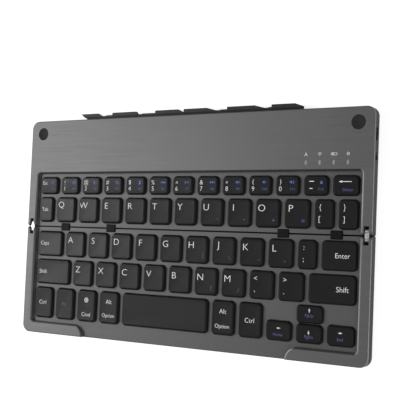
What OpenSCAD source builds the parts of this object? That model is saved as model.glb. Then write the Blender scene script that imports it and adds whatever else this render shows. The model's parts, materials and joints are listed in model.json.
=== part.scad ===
// Folding keyboard: two halves joined along the fold by links at both ends, 60 keys, and a swing-out stand.
// Origin: centre of the footprint on the surface it rests on. +X right, +Y to the rear, +Z up. Millimetres.

/* [Case] */
// Overall width
body_w = 236.4; // [232:0.1:244]
// Depth of the rear half, from the fold to the rear edge
upper_d = 68.8; // [66:0.1:74]
// Depth of the front half, from the fold to the front edge
lower_d = 68.9; // [66:0.1:72]
// Case height above its feet
case_h = 6.5; // [6.5:0.1:7]
// Plan radius of the outer corners
corner_r = 5.2; // [3:0.1:6]
// Height of the rubber feet
foot_h = 0.5; // [0.3:0.1:0.8]
// Radius of the top edge
bevel = 0.6; // [0.3:0.1:0.8]
// Radius of the bottom edge
base_r = 1.2; // [0.5:0.1:1.4]

/* [Key deck] */
// Width of the rim at each side of the key pocket
side_rim = 6.2; // [6.2:0.1:7]
// Depth of the rim in front of the key pocket
front_rim = 6.9; // [6:0.1:8]
// Space between the key pocket's side and the keys
key_margin = 2.4; // [1.8:0.1:3]
// Half width of the open front lip
lip_x = 70.5; // [60:0.5:75]
// Depth of the deck below the rim
deck_drop = 2.5; // [2.3:0.1:2.6]
// Deck thickness
deck_t = 0.8; // [0.6:0.1:0.9]
// Width of the chamfer round the pocket's rim
pocket_chamfer = 1; // [0.6:0.1:1.2]
// Radius of the cove between the pocket's wall and the deck
pocket_cove = 0.3; // [0.3:0.1:0.9]

/* [Keys] */
// Space between two keys
keys_apart = 2.8; // [1.8:0.1:3]
// Height of the key tops above the deck
key_rise = 2; // [1.6:0.1:2.1]
// Key travel
travel = 1.2; // [0.8:0.1:1.4]
// Running gap round a key in its window
key_gap = 0.3; // [0.2:0.05:0.35]
// Plan radius of the key corners
key_r = 2.4; // [1.5:0.1:2.8]
// Width of the slope at a key's top edge
key_edge = 0.9; // [0.5:0.1:1]
// Depth of a letter key
key_d = 16; // [15.5:0.1:16.5]
// Depth of a number key
number_d = 11; // [10.5:0.1:12]
// Space from the fold to the nearest keys
fold_margin = 3.1; // [3:0.1:3.5]

/* [Fold hinge] */
// Distance of each hinge pin from the fold
pin_a = 2.3; // [2.3:0.1:2.4]
// Radius of the hinge pins
pin_r = 0.6; // [0.5:0.05:0.65]
// Running clearance of a pin in its link
pin_fit = 0.05; // [0.02:0.01:0.1]
// End radius of a link
link_r = 1.35; // [1.2:0.05:1.4]
// Thickness of a link
link_t = 2.4; // [2:0.1:2.4]

/* [Stand] */
// Distance from the key pocket back to the stand leaf's free edge
leaf_margin = 2.5; // [2:0.5:7.5]
// Thickness of the stand leaf
leaf_t = 1.6; // [1.4:0.1:1.6]
// Radius of the stand's rod
rod_r = 0.6; // [0.5:0.05:0.65]

/* [Hidden] */
$fn = 48;
eps = 0.01;
reach = 400;
half_w = body_w / 2;

// heights from the surface that the feet rest on
base_z = foot_h;
rim_z = base_z + case_h;
floor_t = 0.8;
floor_z = base_z + floor_t;
split_z = base_z + 3;
deck_z = rim_z - deck_drop;
under_deck_z = deck_z - deck_t;
wall = 1;
panel_t = 0.8;
fold_gap = 0.15;
deck_fold_gap = 0.45;
fold_corner_r = 0.5;

// hinge: the axes lie one pin distance below the rim, so the closed rims meet
axis_z = rim_z - pin_a;
end_r = pin_a - 0.1;
slot_play = 0.3;
slot_x1 = half_w - 1.9;
slot_x0 = slot_x1 - link_t - 2 * slot_play;
slot_y = 5;
mouth_x = [slot_x0 - 1.9, slot_x1 + 1.5];
mouth_y = 1.3;
link_x = (slot_x0 + slot_x1) / 2;
pin_l = 5;
spine_z0 = floor_z + 0.15;
spine_z1 = axis_z - pin_a - 0.1;
spine_hw = 2;
block_hw = 2.2;
block_w = 6.6;
block_top = deck_z + 0.6;
notch = 0.25;

// pocket and keys: a row's widths are in key units, and a key of n units is n * pitch - keys_apart wide
pocket_x = half_w - side_rim;
pocket_r = 2;
wall_in = 0.4;
pocket_foot = wall_in + pocket_cove;
chamfer_h = 0.6;
deck_x = pocket_x - pocket_foot;
field_x = pocket_x - key_margin;
row_units = 37 / 3;
pitch = (2 * field_x + keys_apart) / row_units;
rear_margin = 2.7;
front_margin = 3;
y2 = [fold_margin, fold_margin + key_d];
y1 = [y2[1] + keys_apart, y2[1] + keys_apart + number_d];
y3 = [-fold_margin - key_d, -fold_margin];
y4 = [y3[0] - keys_apart - key_d, y3[0] - keys_apart];
front_y = lower_d - front_rim;
y5 = [front_margin - front_y, y4[0] - keys_apart - 0.2];
pocket_y = y1[1] + rear_margin;
panel_d = upper_d - pocket_y;

// key units before key i of a row
function units_before(w, i) = i == 0 ? 0 : w[i - 1] + units_before(w, i - 1);
function row(w, y) = [for (i = [0:len(w) - 1]) [-field_x + units_before(w, i) * pitch,
    -field_x + (units_before(w, i) + w[i]) * pitch - keys_apart, y[0], y[1]]];
function rest(w) = row_units - units_before(w, len(w));
function filled(w) = concat(w, [rest(w)]);
function units(n, w) = [for (i = [1:n]) w];
row_1 = row(filled(concat([0.967], units(11, 17 / 18))), y1);
row_2 = row(filled(concat([0.794], units(10, 1), [0.772])), y2);
row_3 = row(filled(concat([1.289], units(9, 1), [0.772])), y3);
row_4 = row(filled(concat([1.678], units(9, 1))), y4);
row_5 = row(filled(concat(units(4, 0.964), [3.511, 0.974, 0.967, 1.006, 1.006])), y5);
arrow_split = (y5[0] + y5[1]) / 2 + 0.65;
arrow_left = [row_5[7][0], row_5[7][1], y5[0], arrow_split + 0.4];
arrow_down = [row_5[8][0], row_5[8][1], y5[0], arrow_split - 0.2];
arrow_up = [row_5[8][0], row_5[8][1], arrow_split + 0.2, y5[1] + 0.9];
arrow_right = [row_5[9][0], row_5[9][1], y5[0], arrow_split + 0.4];
small_upper = concat([for (i = [0:11]) row_1[i]], [row_2[0], row_2[11], row_2[12]]);
letters_2 = [for (i = [1:10]) row_2[i]];
letters_3 = [for (i = [1:9]) row_3[i]];
letters_4 = [for (i = [1:7]) row_4[i]];
marks_lower = [row_3[0], row_3[10], row_4[8], row_4[9]];
modifiers = [for (i = [0, 1, 2, 3, 5, 6]) row_5[i]];
arrows = [arrow_left, arrow_down, arrow_up, arrow_right];
upper_keys = concat(row_1, row_2);
lower_keys = concat(row_3, row_4, modifiers, [row_5[4]], arrows);
block_units = [1.19, 3.19, 9.75, 11.5];
block_at = [for (u = block_units) u * pitch - field_x];

// key height stack
cap_z0 = under_deck_z + 0.2;
cap_top = deck_z + key_rise;
cap_roof = 0.9;
cap_wall = 1.1;
cap_brow = 0.35;
cap_skirt = 0.2;
plate_t = 0.3;
dome_t = 0.2;
dome_z = floor_z + plate_t;
dome_r = 2.6;
plunger_z = cap_z0 - 0.3;
plunger_r = 1.5;
plate_x = pocket_x - 1;
plate_y0 = fold_margin + 0.3;

// stand behind the rear edge: a comb of lugs, with the leaf's knuckles between them
rod_y = upper_d + 1.5;
rod_z = base_z + 1.55;
knuckle_r = 1.3;
knuckle_play = 0.8;
lug_y1 = upper_d + 3.4;
lug_top = rim_z - 0.15;
recess_x = half_w - 41;
comb_x = recess_x - 0.5;
lug_shares = [[-1.018, -0.846], [-0.698, -0.468], [-0.28, -0.07], [-0.015, 0.19], [0.369, 0.597],
    [0.741, 0.924]];
lugs = [for (s = lug_shares) s * comb_x];
lug_slants = [2.8, 1.2, 3.6, 6.2, 6.4, 5];
leg_back = 2;
tip_back = 4.2;
knuckle_gaps = [0, 1, 3, 4];
knuckles = [for (i = knuckle_gaps)
    [lugs[i][1] + lug_slants[i] + knuckle_play, lugs[i + 1][0] - knuckle_play]];
leaf_x = recess_x - 0.7;
leaf_y0 = pocket_y + leaf_margin;
leaf_y1 = rod_y - 5.8;
scallop_r = 7;
panel_edge = 6;
panel_back = 10;
panel_front = 4;
recess_z = base_z + leaf_t + 0.25;
recess_t = 0.7;
recess_y0 = leaf_y0 - 0.5;

// the fold lies off the centre of the footprint by half of what the lugs add behind
fold_y = -(lug_y1 - lower_d) / 2;

// electronics under the rear panel
cavity_z0 = recess_z + recess_t;
cavity_z1 = rim_z - panel_t;
battery_t = 2.2;
battery_x0 = -recess_x + 3.2;
battery_w = 84;
battery_x1 = battery_x0 + battery_w;
flap_w = 54;
flap_d = 1.4;
flap_t = 0.8;
battery_y0 = pocket_y + 4.2;
battery_y1 = upper_d - 3.8;
board_t = 0.8;
board_x0 = battery_x1 + 4;
board_x1 = recess_x - 1.2;
board_x2 = half_w - 9.7;
board_y1 = upper_d - 2.8;
chip_x = board_x0 + 0.32 * (board_x1 - board_x0);
chip_y = (battery_y0 + board_y1) / 2;
chip_hw = 4;
socket_w = 7.6;
socket_h = 2.6;
socket_shell = 0.3;
tongue_w = 5;
socket_x0 = half_w - 9.4;
socket_y = pocket_y + 0.553 * panel_d;
socket_z = cavity_z0 + 1.5;
switch_w = 4.4;
switch_y = pocket_y + 0.2 * panel_d;
led_w = 1.4;
led_h = 2.6;
led_y = pocket_y + 4.2;
led_x = [for (i = [0:3]) half_w - 39.2 + 8.13 * i];
pad_x = half_w - 9.6;
pad_y = upper_d - 8.5;
pad_r = 4.05;
pad_t = 0.5;
foot_x = half_w - 20.2;
foot_w = 18;
foot_d = 4;
upper_foot_y = [10, upper_d - 12.8];
lower_foot_y = [-10, 12.9 - lower_d];
screw_r = 0.8;
screw_head_r = 1.4;
screw_head_t = 0.6;
screw_l = 4;
boss_r = 2.2;
screw_x = half_w - 4.6;
screws_upper = [[-screw_x, upper_d - 6.3], [screw_x, pocket_y + 1.7], [-screw_x, 12], [screw_x, 12]];
screws_lower = [[-screw_x, 5.4 - lower_d], [screw_x, 5.4 - lower_d], [-screw_x, -12], [screw_x, -12]];

body_col = [0.36, 0.36, 0.37];
black_col = [0.07, 0.07, 0.075];
key_col = [0.17, 0.17, 0.18];
metal_col = [0.72, 0.72, 0.73];
rubber_col = [0.1, 0.1, 0.1];
board_col = [0.05, 0.3, 0.15];
silicone_col = [0.55, 0.56, 0.58];
foil_col = [0.75, 0.76, 0.78];
lens_col = [0.7, 0.72, 0.74];

// a box between two corners
module span(x0, x1, y0, y1, z0, z1) {
    translate([x0, y0, z0]) cube([x1 - x0, y1 - y0, z1 - z0]);
}

// a round bar along X
module bar_x(x0, x1, y, z, r) {
    translate([x0, y, z]) rotate([0, 90, 0]) cylinder(r = r, h = x1 - x0);
}

// a flat rectangle with round corners
module round_rect(x0, x1, y0, y1, r) {
    union() {
        translate([x0 + r, y0]) square([x1 - x0 - 2 * r, y1 - y0]);
        translate([x0, y0 + r]) square([x1 - x0, y1 - y0 - 2 * r]);
        for (x = [x0 + r, x1 - r]) for (y = [y0 + r, y1 - r]) translate([x, y]) circle(r);
    }
}

// the part of an edge profile that lies within w of the wall; the wall is then at w
module profile_part(w) {
    intersection() {
        translate([w, 0]) children();
        translate([0, -reach]) square([w + reach, 2 * reach]);
    }
}

// a rounded rectangle swept with an edge profile; the profile's wall is at 0 and its inside at -x
// r0 is the radius of the two corners at y0, and r1 of the two at y1
module profiled(x0, x1, y0, y1, r0, r1) {
    for (s = [0, 1]) {
        translate([(x0 + x1) / 2, y1 - r1, 0]) mirror([s, 0, 0]) rotate([90, 0, 0])
            linear_extrude(y1 - r1 - y0 - r0) profile_part((x1 - x0) / 2) children();
        translate([s > 0 ? x0 + r1 : x1 - r1, y1 - r1, 0]) mirror([s, 0, 0])
            rotate_extrude(angle = 90) profile_part(r1) children();
        translate([s > 0 ? x0 + r0 : x1 - r0, y0 + r0, 0]) mirror([s, 0, 0]) mirror([0, 1, 0])
            rotate_extrude(angle = 90) profile_part(r0) children();
    }
    translate([x0 + r1, y1 - r1, 0]) rotate([90, 0, 90])
        linear_extrude(x1 - x0 - 2 * r1) profile_part(r1) children();
    translate([x0 + r0, y0 + r0, 0]) mirror([0, 1, 0]) rotate([90, 0, 90])
        linear_extrude(x1 - x0 - 2 * r0) profile_part(r0) children();
}

// edge profile from z0 to z1 with its upper edge round
module top_round(z0, z1, r) {
    translate([-reach, z0]) square([reach, z1 - z0 - r]);
    translate([-reach, z0]) square([reach - r, z1 - z0]);
    translate([-r, z1 - r]) circle(r);
}

// edge profile from z0 to z1 with its lower edge round
module bottom_round(z0, z1, r) {
    translate([-reach, z0 + r]) square([reach, z1 - z0 - r]);
    translate([-reach, z0]) square([reach - r, z1 - z0]);
    translate([-r, z0 + r]) circle(r);
}

// edge profile of a key cap: upright skirt, sloping side, and a narrow chamfer round the top
module cap_profile() {
    polygon([[-reach, cap_z0], [0, cap_z0], [0, deck_z + cap_skirt],
        [-0.6 * key_edge, cap_top - cap_brow], [-key_edge, cap_top], [-reach, cap_top]]);
}

// edge profile of the key pocket: small cove on the deck, upright wall, wide chamfer at the rim
module pocket_profile() {
    c = pocket_cove;
    x1 = pocket_chamfer - wall_in;
    slope = (x1 + wall_in) / chamfer_h;
    translate([-reach, deck_z]) square([reach - pocket_foot, case_h]);
    translate([-wall_in - c, deck_z + c]) square([c, case_h]);
    translate([-wall_in - c, deck_z + c]) circle(c);
    polygon([[-pocket_foot, rim_z - chamfer_h], [-wall_in, rim_z - chamfer_h], [x1 + slope, rim_z + 1],
        [-pocket_foot, rim_z + 1]]);
}

// shell outline of a half: large round corners at its far edge, small ones at the fold
module half_block(depth, inset = 0) {
    profiled(inset - half_w, half_w - inset, fold_gap, depth - inset, fold_corner_r, corner_r - inset)
        children();
}

// everything above the hinge axis near the fold is round about that axis
module fold_rounding() {
    difference() {
        span(-half_w - 1, half_w + 1, -1, pin_a, axis_z, rim_z + 1);
        bar_x(-half_w - 2, half_w + 2, pin_a, axis_z, end_r);
    }
}

// room for a link and its tab, open to the fold and upward, with a flared mouth
module link_slots() {
    for (s = [0, 1]) mirror([s, 0, 0]) {
        span(slot_x0, slot_x1, -1, slot_y, floor_z, rim_z + 1);
        translate([0, 0, floor_z]) linear_extrude(case_h)
            polygon([[mouth_x[0], 0], [slot_x0, mouth_y], [slot_x1, mouth_y], [mouth_x[1], 0]]);
    }
}

// bores for the hinge pins through the rim's two cheeks
module pin_bores() {
    for (s = [-1, 1]) bar_x(s * link_x - pin_l / 2 - 0.1, s * link_x + pin_l / 2 + 0.1, pin_a, axis_z, pin_r);
}

// the deck's fold edge stands back from the fold, with notches round the black blocks
module deck_fold_edge() {
    span(-deck_x, deck_x, -1, deck_fold_gap, split_z - 1, rim_z);
    for (x = block_at) span(x - block_w / 2 - notch, x + block_w / 2 + notch, -1, block_hw + notch,
        deck_z - 2, deck_z + 1);
}

// key windows through the deck
module windows(list) {
    for (k = list) {
        translate([0, 0, under_deck_z - 1]) linear_extrude(deck_t + 2)
            round_rect(k[0] - key_gap, k[1] + key_gap, k[2] - key_gap, k[3] + key_gap, key_r + key_gap);
    }
}

// one key cap: slope-sided shell, hollow below, with a plunger that stands on its dome
module cap(k) {
    difference() {
        profiled(k[0], k[1], k[2], k[3], key_r, key_r) cap_profile();
        translate([0, 0, cap_z0 - 1]) linear_extrude(cap_top - cap_roof - cap_z0 + 1)
            round_rect(k[0] + cap_wall, k[1] - cap_wall, k[2] + cap_wall, k[3] - cap_wall, key_r - cap_wall);
    }
    translate([(k[0] + k[1]) / 2, (k[2] + k[3]) / 2, plunger_z])
        cylinder(r = plunger_r, h = cap_top - cap_roof / 2 - plunger_z);
}

module caps(list) {
    color(key_col) for (k = list) cap(k);
}

// screw shanks and heads that close a half from below
module screws(list) {
    color(metal_col) for (p = list) {
        translate([p[0], p[1], base_z]) cylinder(r = screw_head_r, h = screw_head_t);
        translate([p[0], p[1], base_z + screw_head_t]) cylinder(r = screw_r, h = screw_l);
    }
}

module screw_holes(list) {
    for (p = list) {
        translate([p[0], p[1], base_z - 1]) cylinder(r = screw_head_r, h = screw_head_t + 1);
        translate([p[0], p[1], base_z]) cylinder(r = screw_r, h = screw_l + screw_head_t);
    }
}

// tray of a half: floor, outer wall and screw bosses, open at the fold
module tray(depth, list) {
    difference() {
        union() {
            difference() {
                half_block(depth) bottom_round(base_z, split_z, base_r);
                half_block(depth, wall) bottom_round(floor_z, split_z + 1, base_r / 2);
                span(-slot_x1, slot_x1, -1, 3, floor_z, rim_z);
            }
            for (p = list) translate([p[0], p[1], base_z]) cylinder(r = boss_r, h = split_z - base_z);
        }
        screw_holes(list);
        link_slots();
    }
}

// side openings for the charge socket and the switch
module side_cuts() {
    translate([half_w - 4, socket_y, socket_z]) rotate([0, 90, 0]) linear_extrude(6)
        round_rect(-socket_h / 2, socket_h / 2, -socket_w / 2, socket_w / 2, 1.2);
    translate([half_w - 4, switch_y, socket_z]) rotate([0, 90, 0]) linear_extrude(6)
        round_rect(-0.9, 0.9, -switch_w / 2, switch_w / 2, 0.3);
}

module upper_bottom_case() {
    color(body_col) difference() {
        union() {
            tray(upper_d, screws_upper);
            span(-recess_x - 1, recess_x + 1, recess_y0 - 1, upper_d - 1, floor_z - eps, cavity_z0);
        }
        // shallow recess that takes the stand leaf, open to the rear
        span(-recess_x, recess_x, recess_y0, upper_d + 1, base_z - 1, recess_z);
        span(-recess_x, recess_x, upper_d - 0.6, upper_d + 1, base_z - 1, split_z + 1);
        side_cuts();
    }
}

module upper_top_case() {
    color(body_col) difference() {
        half_block(upper_d) top_round(split_z, rim_z, bevel);
        profiled(-pocket_x, pocket_x, -2 * pocket_r, pocket_y, pocket_r, pocket_r) pocket_profile();
        span(-deck_x, deck_x, -1, pocket_y - pocket_foot, split_z - 1, under_deck_z);
        // cavity over the electronics
        translate([0, 0, split_z - 1]) linear_extrude(cavity_z1 - split_z + 1)
            round_rect(3 - half_w, half_w - 3, pocket_y + 0.9, upper_d - 2, 2);
        windows(upper_keys);
        fold_rounding();
        deck_fold_edge();
        link_slots();
        pin_bores();
        screw_holes(screws_upper);
        for (x = led_x) led_box(x, cavity_z1 - 1, rim_z + 1);
        for (s = [-1, 1]) translate([s * pad_x, pad_y, rim_z - pad_t]) cylinder(r = pad_r, h = 2);
        side_cuts();
    }
}

// steel plate under a half's keys, with a vent hole at each key
module key_plate(list, y0, y1) {
    color(metal_col) difference() {
        span(-plate_x, plate_x, y0, y1, floor_z, floor_z + plate_t);
        for (k = list) translate([(k[0] + k[1]) / 2, k[3] - 2, floor_z - 1]) cylinder(r = 0.7, h = 2);
    }
}

module upper_key_plate() {
    key_plate(upper_keys, plate_y0, pocket_y - 0.8);
}

// silicone sheet with a collapsing dome under each key
module domes(list, y0, y1) {
    color(silicone_col) {
        span(0.5 - plate_x, plate_x - 0.5, y0, y1, dome_z, dome_z + dome_t);
        for (k = list) {
            translate([(k[0] + k[1]) / 2, (k[2] + k[3]) / 2, dome_z + dome_t])
                cylinder(r1 = dome_r, r2 = plunger_r + 0.1, h = plunger_z - dome_z - dome_t);
        }
    }
}

module upper_dome_sheet() {
    domes(upper_keys, plate_y0 + 0.2, pocket_y - 1.2);
}

// flat cell with its sealed rear flap
module battery() {
    color(foil_col) union() {
        translate([0, 0, cavity_z0]) linear_extrude(battery_t)
            round_rect(battery_x0, battery_x1, battery_y0, battery_y1, 1.5);
        span(battery_x0 + 1.5, battery_x0 + flap_w, battery_y1 - flap_d, battery_y1 + flap_d,
            cavity_z0, cavity_z0 + flap_t);
    }
}

module main_board() {
    top = cavity_z0 + board_t;
    color(board_col) union() {
        span(board_x0, board_x1, battery_y0, board_y1, cavity_z0, top);
        span(board_x1, board_x2, battery_y0 - 1.5, socket_y + 4.9, cavity_z0, top);
        span(chip_x - chip_hw, chip_x + chip_hw, chip_y - chip_hw, chip_y + chip_hw, top, top + 1);
        span(chip_x + chip_hw + 6, chip_x + chip_hw + 10, chip_y - 8, chip_y - 4, top, top + 0.8);
        for (x = [14:4:26]) span(chip_x + chip_hw + x, chip_x + chip_hw + x + 2, chip_y + 5, chip_y + 6,
            top, top + 0.6);
    }
}

// socket shell with its tongue, seated on the board and open at the side wall
module charge_socket() {
    color(metal_col) difference() {
        translate([socket_x0, socket_y, socket_z]) rotate([0, 90, 0]) linear_extrude(half_w - socket_x0 - 0.2)
            round_rect(-socket_h / 2, socket_h / 2, -socket_w / 2, socket_w / 2, 1.2);
        translate([socket_x0 + 1.2, socket_y, socket_z]) rotate([0, 90, 0]) linear_extrude(half_w - socket_x0)
            round_rect(socket_shell - socket_h / 2, socket_h / 2 - socket_shell,
                socket_shell - socket_w / 2, socket_w / 2 - socket_shell, 1.2 - socket_shell);
    }
    color(black_col) span(socket_x0 + 1, half_w - 2, socket_y - tongue_w / 2, socket_y + tongue_w / 2,
        socket_z - 0.3, socket_z + 0.3);
}

// room of one indicator lens
module led_box(x, z0, z1) {
    span(x - led_w / 2, x + led_w / 2, led_y - led_h / 2, led_y + led_h / 2, z0, z1);
}

module led_lenses() {
    color(lens_col) for (x = led_x) led_box(x, cavity_z1 - 0.4, rim_z - 0.05);
}

module corner_pads() {
    color(rubber_col) for (s = [-1, 1]) {
        translate([s * pad_x, pad_y, rim_z - pad_t]) cylinder(r = pad_r, h = pad_t);
    }
}

// rubber feet, round at their lower edge
module feet(list) {
    color(rubber_col) for (s = [-1, 1]) for (y = list) {
        profiled(s * foot_x - foot_w / 2, s * foot_x + foot_w / 2, y - foot_d / 2, y + foot_d / 2,
            foot_d / 2 - 0.1, foot_d / 2 - 0.1) bottom_round(0, foot_h, 0.2);
    }
}

module upper_feet() {
    feet(upper_foot_y);
}

module lower_feet() {
    feet(lower_foot_y);
}

// slider inside the wall, with a ribbed thumb piece through the slot
module switch_knob() {
    y0 = switch_y - switch_w / 2 + 0.2;
    color(black_col) difference() {
        union() {
            span(half_w - 4.5, half_w - 3.2, y0 - 0.2, y0 + 2.6, socket_z - 1.3, socket_z + 1.3);
            span(half_w - 3.2, half_w + 0.5, y0, y0 + 1.9, socket_z - 0.75, socket_z + 0.75);
        }
        for (i = [0:2]) span(half_w + 0.3, half_w + 1, y0 + 0.35 + 0.5 * i, y0 + 0.55 + 0.5 * i,
            socket_z - 1, socket_z + 1);
    }
}

// one lug in section: it stands clear of the case's rear edge at the top
module lug_section() {
    polygon([[upper_d, base_z + 0.2], [lug_y1 - 0.6, base_z + 0.2], [lug_y1, base_z + 0.8],
        [lug_y1, lug_top - 0.4], [lug_y1 - 0.4, lug_top], [upper_d + 1.2, lug_top],
        [upper_d + 0.8, lug_top - 1.7], [upper_d, lug_top - 1.7]]);
}

// fixed comb of the stand hinge: six lugs joined by a bar, bored for the rod
module stand_hinge_comb() {
    bar_z = [rim_z - 2.3, rim_z - 0.6];
    bar_y = upper_d + 1.7;
    bar_x0 = lugs[0][0] + 1;
    bar_x1 = lugs[5][1] + lug_slants[5];
    color(black_col) difference() {
        union() {
            span(bar_x0, bar_x1, upper_d, bar_y, bar_z[0], bar_z[1] - 1);
            span(bar_x0, bar_x1, upper_d + 0.8, bar_y, bar_z[0], bar_z[1]);
            for (l = lugs) difference() {
                translate([l[0], 0, 0]) rotate([90, 0, 90]) linear_extrude(l[1] - l[0]) lug_section();
                span(l[1] - leg_back, l[1] + 1, upper_d - 1, lug_y1 + 1, 0, bar_z[0]);
            }
            for (i = [0:5]) {
                x0 = lugs[i][1] - eps;
                x1 = lugs[i][1] + lug_slants[i];
                translate([0, 0, bar_z[0]]) linear_extrude(lug_top - bar_z[0])
                    polygon([[x0, upper_d + 1.2], [x1, upper_d + 1.2], [x1, bar_y], [x0, lug_y1]]);
            }
        }
        bar_x(-recess_x - 2, recess_x + 2, rod_y, rod_z, rod_r);
        // the first lug's outer end is cut back at a slant
        translate([lugs[0][0], 0, 0]) linear_extrude(rim_z + 1)
            polygon([[-1, upper_d], [tip_back, upper_d], [0, lug_y1], [-1, lug_y1]]);
    }
}

module stand_rod() {
    color(metal_col) bar_x(lugs[0][0] + tip_back, lugs[5][1] - leg_back - 0.5, rod_y, rod_z, rod_r);
}

// stand leaf: plate with a finger scallop, four necks and four knuckles that turn on the rod
module stand_leaf() {
    color(black_col) difference() {
        union() {
            profiled(-leaf_x, leaf_x, leaf_y0, leaf_y1, 2.5, 2.5) bottom_round(base_z, base_z + leaf_t, 0.5);
            for (k = knuckles) {
                span(k[0], k[1], leaf_y1 - 1, rod_y, base_z + 0.5, base_z + leaf_t);
                bar_x(k[0], k[1], rod_y, rod_z, knuckle_r);
            }
        }
        bar_x(-recess_x - 2, recess_x + 2, rod_y, rod_z, rod_r + pin_fit);
        translate([0, leaf_y0, 0]) cylinder(r = scallop_r, h = rim_z);
        // shallow panel let into the leaf's outer face
        profiled(panel_edge - leaf_x, leaf_x - panel_edge, leaf_y0 + panel_back, leaf_y1 - panel_front,
            2, 2) top_round(-1, base_z + 0.3, 0.2);
    }
}

module hinge_pins() {
    color(metal_col) for (s = [-1, 1]) {
        bar_x(s * link_x - pin_l / 2, s * link_x + pin_l / 2, pin_a, axis_z, pin_r);
    }
}

module upper_hinge_pins() {
    hinge_pins();
}

module lower_hinge_pins() {
    mirror([0, 1, 0]) hinge_pins();
}

// one link: two eyes, a bridge between them, and a tail down to the spine
module link() {
    difference() {
        union() {
            for (y = [-pin_a, pin_a]) bar_x(-link_t / 2, link_t / 2, y, axis_z, link_r);
            span(-link_t / 2, link_t / 2, -pin_a, pin_a, axis_z - link_r, axis_z + link_r - 0.25);
            span(-link_t / 2, link_t / 2, -1.6, 1.6, spine_z1, axis_z);
        }
        for (y = [-pin_a, pin_a]) bar_x(-link_t, link_t, y, axis_z, pin_r + pin_fit);
    }
}

module hinge_links() {
    color(metal_col) for (s = [-1, 1]) translate([s * link_x, 0, 0]) link();
}

// bar under the decks that joins the links, with four round-edged blocks that show in the deck's notches
module hinge_spine() {
    color(black_col) union() {
        span(-link_x - link_t / 2, link_x + link_t / 2, -spine_hw, spine_hw, spine_z0, spine_z1);
        for (x = block_at) profiled(x - block_w / 2, x + block_w / 2, -block_hw, block_hw, 0.6, 0.6)
            top_round(spine_z0, block_top, 0.3);
    }
}

module lower_bottom_case() {
    color(body_col) mirror([0, 1, 0]) tray(lower_d, [for (p = screws_lower) [p[0], -p[1]]]);
}

// lip that is open to the front edge; the rim ends in a quarter round on each side of it
module front_lip() {
    x1 = lip_x + front_rim;
    difference() {
        span(-x1, x1, front_y - 2 * pocket_foot, lower_d + 1, deck_z, rim_z + 1);
        for (s = [-1, 1]) translate([s * x1, lower_d, 0]) rotate_extrude() difference() {
            translate([0, deck_z - 1]) square([front_rim + pocket_foot, case_h]);
            translate([front_rim, 0]) mirror([1, 0]) pocket_profile();
        }
    }
    // round front edge of the lip
    difference() {
        span(-x1, x1, lower_d - bevel, lower_d + 1, deck_z - bevel, deck_z + eps);
        bar_x(-x1 - 1, x1 + 1, lower_d - bevel, deck_z - bevel, bevel);
        for (s = [-1, 1]) translate([s * x1, lower_d, deck_z - 2]) cylinder(r = front_rim, h = 4);
    }
}

module lower_top_case() {
    color(body_col) mirror([0, 1, 0]) difference() {
        half_block(lower_d) top_round(split_z, rim_z, bevel);
        profiled(-pocket_x, pocket_x, -2 * pocket_r, front_y, pocket_r, pocket_r) pocket_profile();
        front_lip();
        span(-deck_x, deck_x, -1, front_y - pocket_foot, split_z - 1, under_deck_z);
        mirror([0, 1, 0]) windows(lower_keys);
        fold_rounding();
        deck_fold_edge();
        link_slots();
        pin_bores();
        screw_holes([for (p = screws_lower) [p[0], -p[1]]]);
    }
}

module lower_key_plate() {
    key_plate(lower_keys, 1 - front_y, -plate_y0);
}

module lower_dome_sheet() {
    domes(lower_keys, 1.4 - front_y, -plate_y0 - 0.2);
}

module placed() {
    translate([0, fold_y, 0]) children();
}

placed() upper_bottom_case();
placed() upper_top_case();
placed() upper_key_plate();
placed() upper_dome_sheet();
placed() battery();
placed() main_board();
placed() charge_socket();
placed() led_lenses();
placed() corner_pads();
placed() upper_feet();
placed() switch_knob();
placed() stand_hinge_comb();
placed() stand_rod();
placed() stand_leaf();
placed() upper_hinge_pins();
placed() hinge_links();
placed() hinge_spine();
placed() lower_bottom_case();
placed() lower_top_case();
placed() lower_key_plate();
placed() lower_dome_sheet();
placed() lower_feet();
placed() lower_hinge_pins();
placed() screws(screws_upper);  // upper_screws
placed() screws(screws_lower);  // lower_screws
placed() caps(small_upper);  // keys_small_upper
placed() caps([row_1[12]]);  // key_backspace
placed() caps([letters_2[0]]);  // key_q
placed() caps([letters_2[1]]);  // key_w
placed() caps([letters_2[2]]);  // key_e
placed() caps([letters_2[3]]);  // key_r
placed() caps([letters_2[4]]);  // key_t
placed() caps([letters_2[5]]);  // key_y
placed() caps([letters_2[6]]);  // key_u
placed() caps([letters_2[7]]);  // key_i
placed() caps([letters_2[8]]);  // key_o
placed() caps([letters_2[9]]);  // key_p
placed() caps([letters_3[0]]);  // key_a
placed() caps([letters_3[1]]);  // key_s
placed() caps([letters_3[2]]);  // key_d
placed() caps([letters_3[3]]);  // key_f
placed() caps([letters_3[4]]);  // key_g
placed() caps([letters_3[5]]);  // key_h
placed() caps([letters_3[6]]);  // key_j
placed() caps([letters_3[7]]);  // key_k
placed() caps([letters_3[8]]);  // key_l
placed() caps([row_3[11]]);  // key_enter
placed() caps([letters_4[0]]);  // key_z
placed() caps([letters_4[1]]);  // key_x
placed() caps([letters_4[2]]);  // key_c
placed() caps([letters_4[3]]);  // key_v
placed() caps([letters_4[4]]);  // key_b
placed() caps([letters_4[5]]);  // key_n
placed() caps([letters_4[6]]);  // key_m
placed() caps([row_4[0]]);  // key_shift_left
placed() caps([row_4[10]]);  // key_shift_right
placed() caps([row_5[4]]);  // key_space
placed() caps(marks_lower);  // keys_marks_lower
placed() caps(modifiers);  // keys_modifiers
placed() caps(arrows);  // keys_arrows
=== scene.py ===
"""Dressed scene of a two-part folding keyboard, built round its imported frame."""
import json
import logging
import math
from dataclasses import dataclass, field, replace
from enum import Enum
from typing import ClassVar, Iterable, Sequence

import bmesh
import bpy
from mathutils import Matrix, Vector

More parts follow.
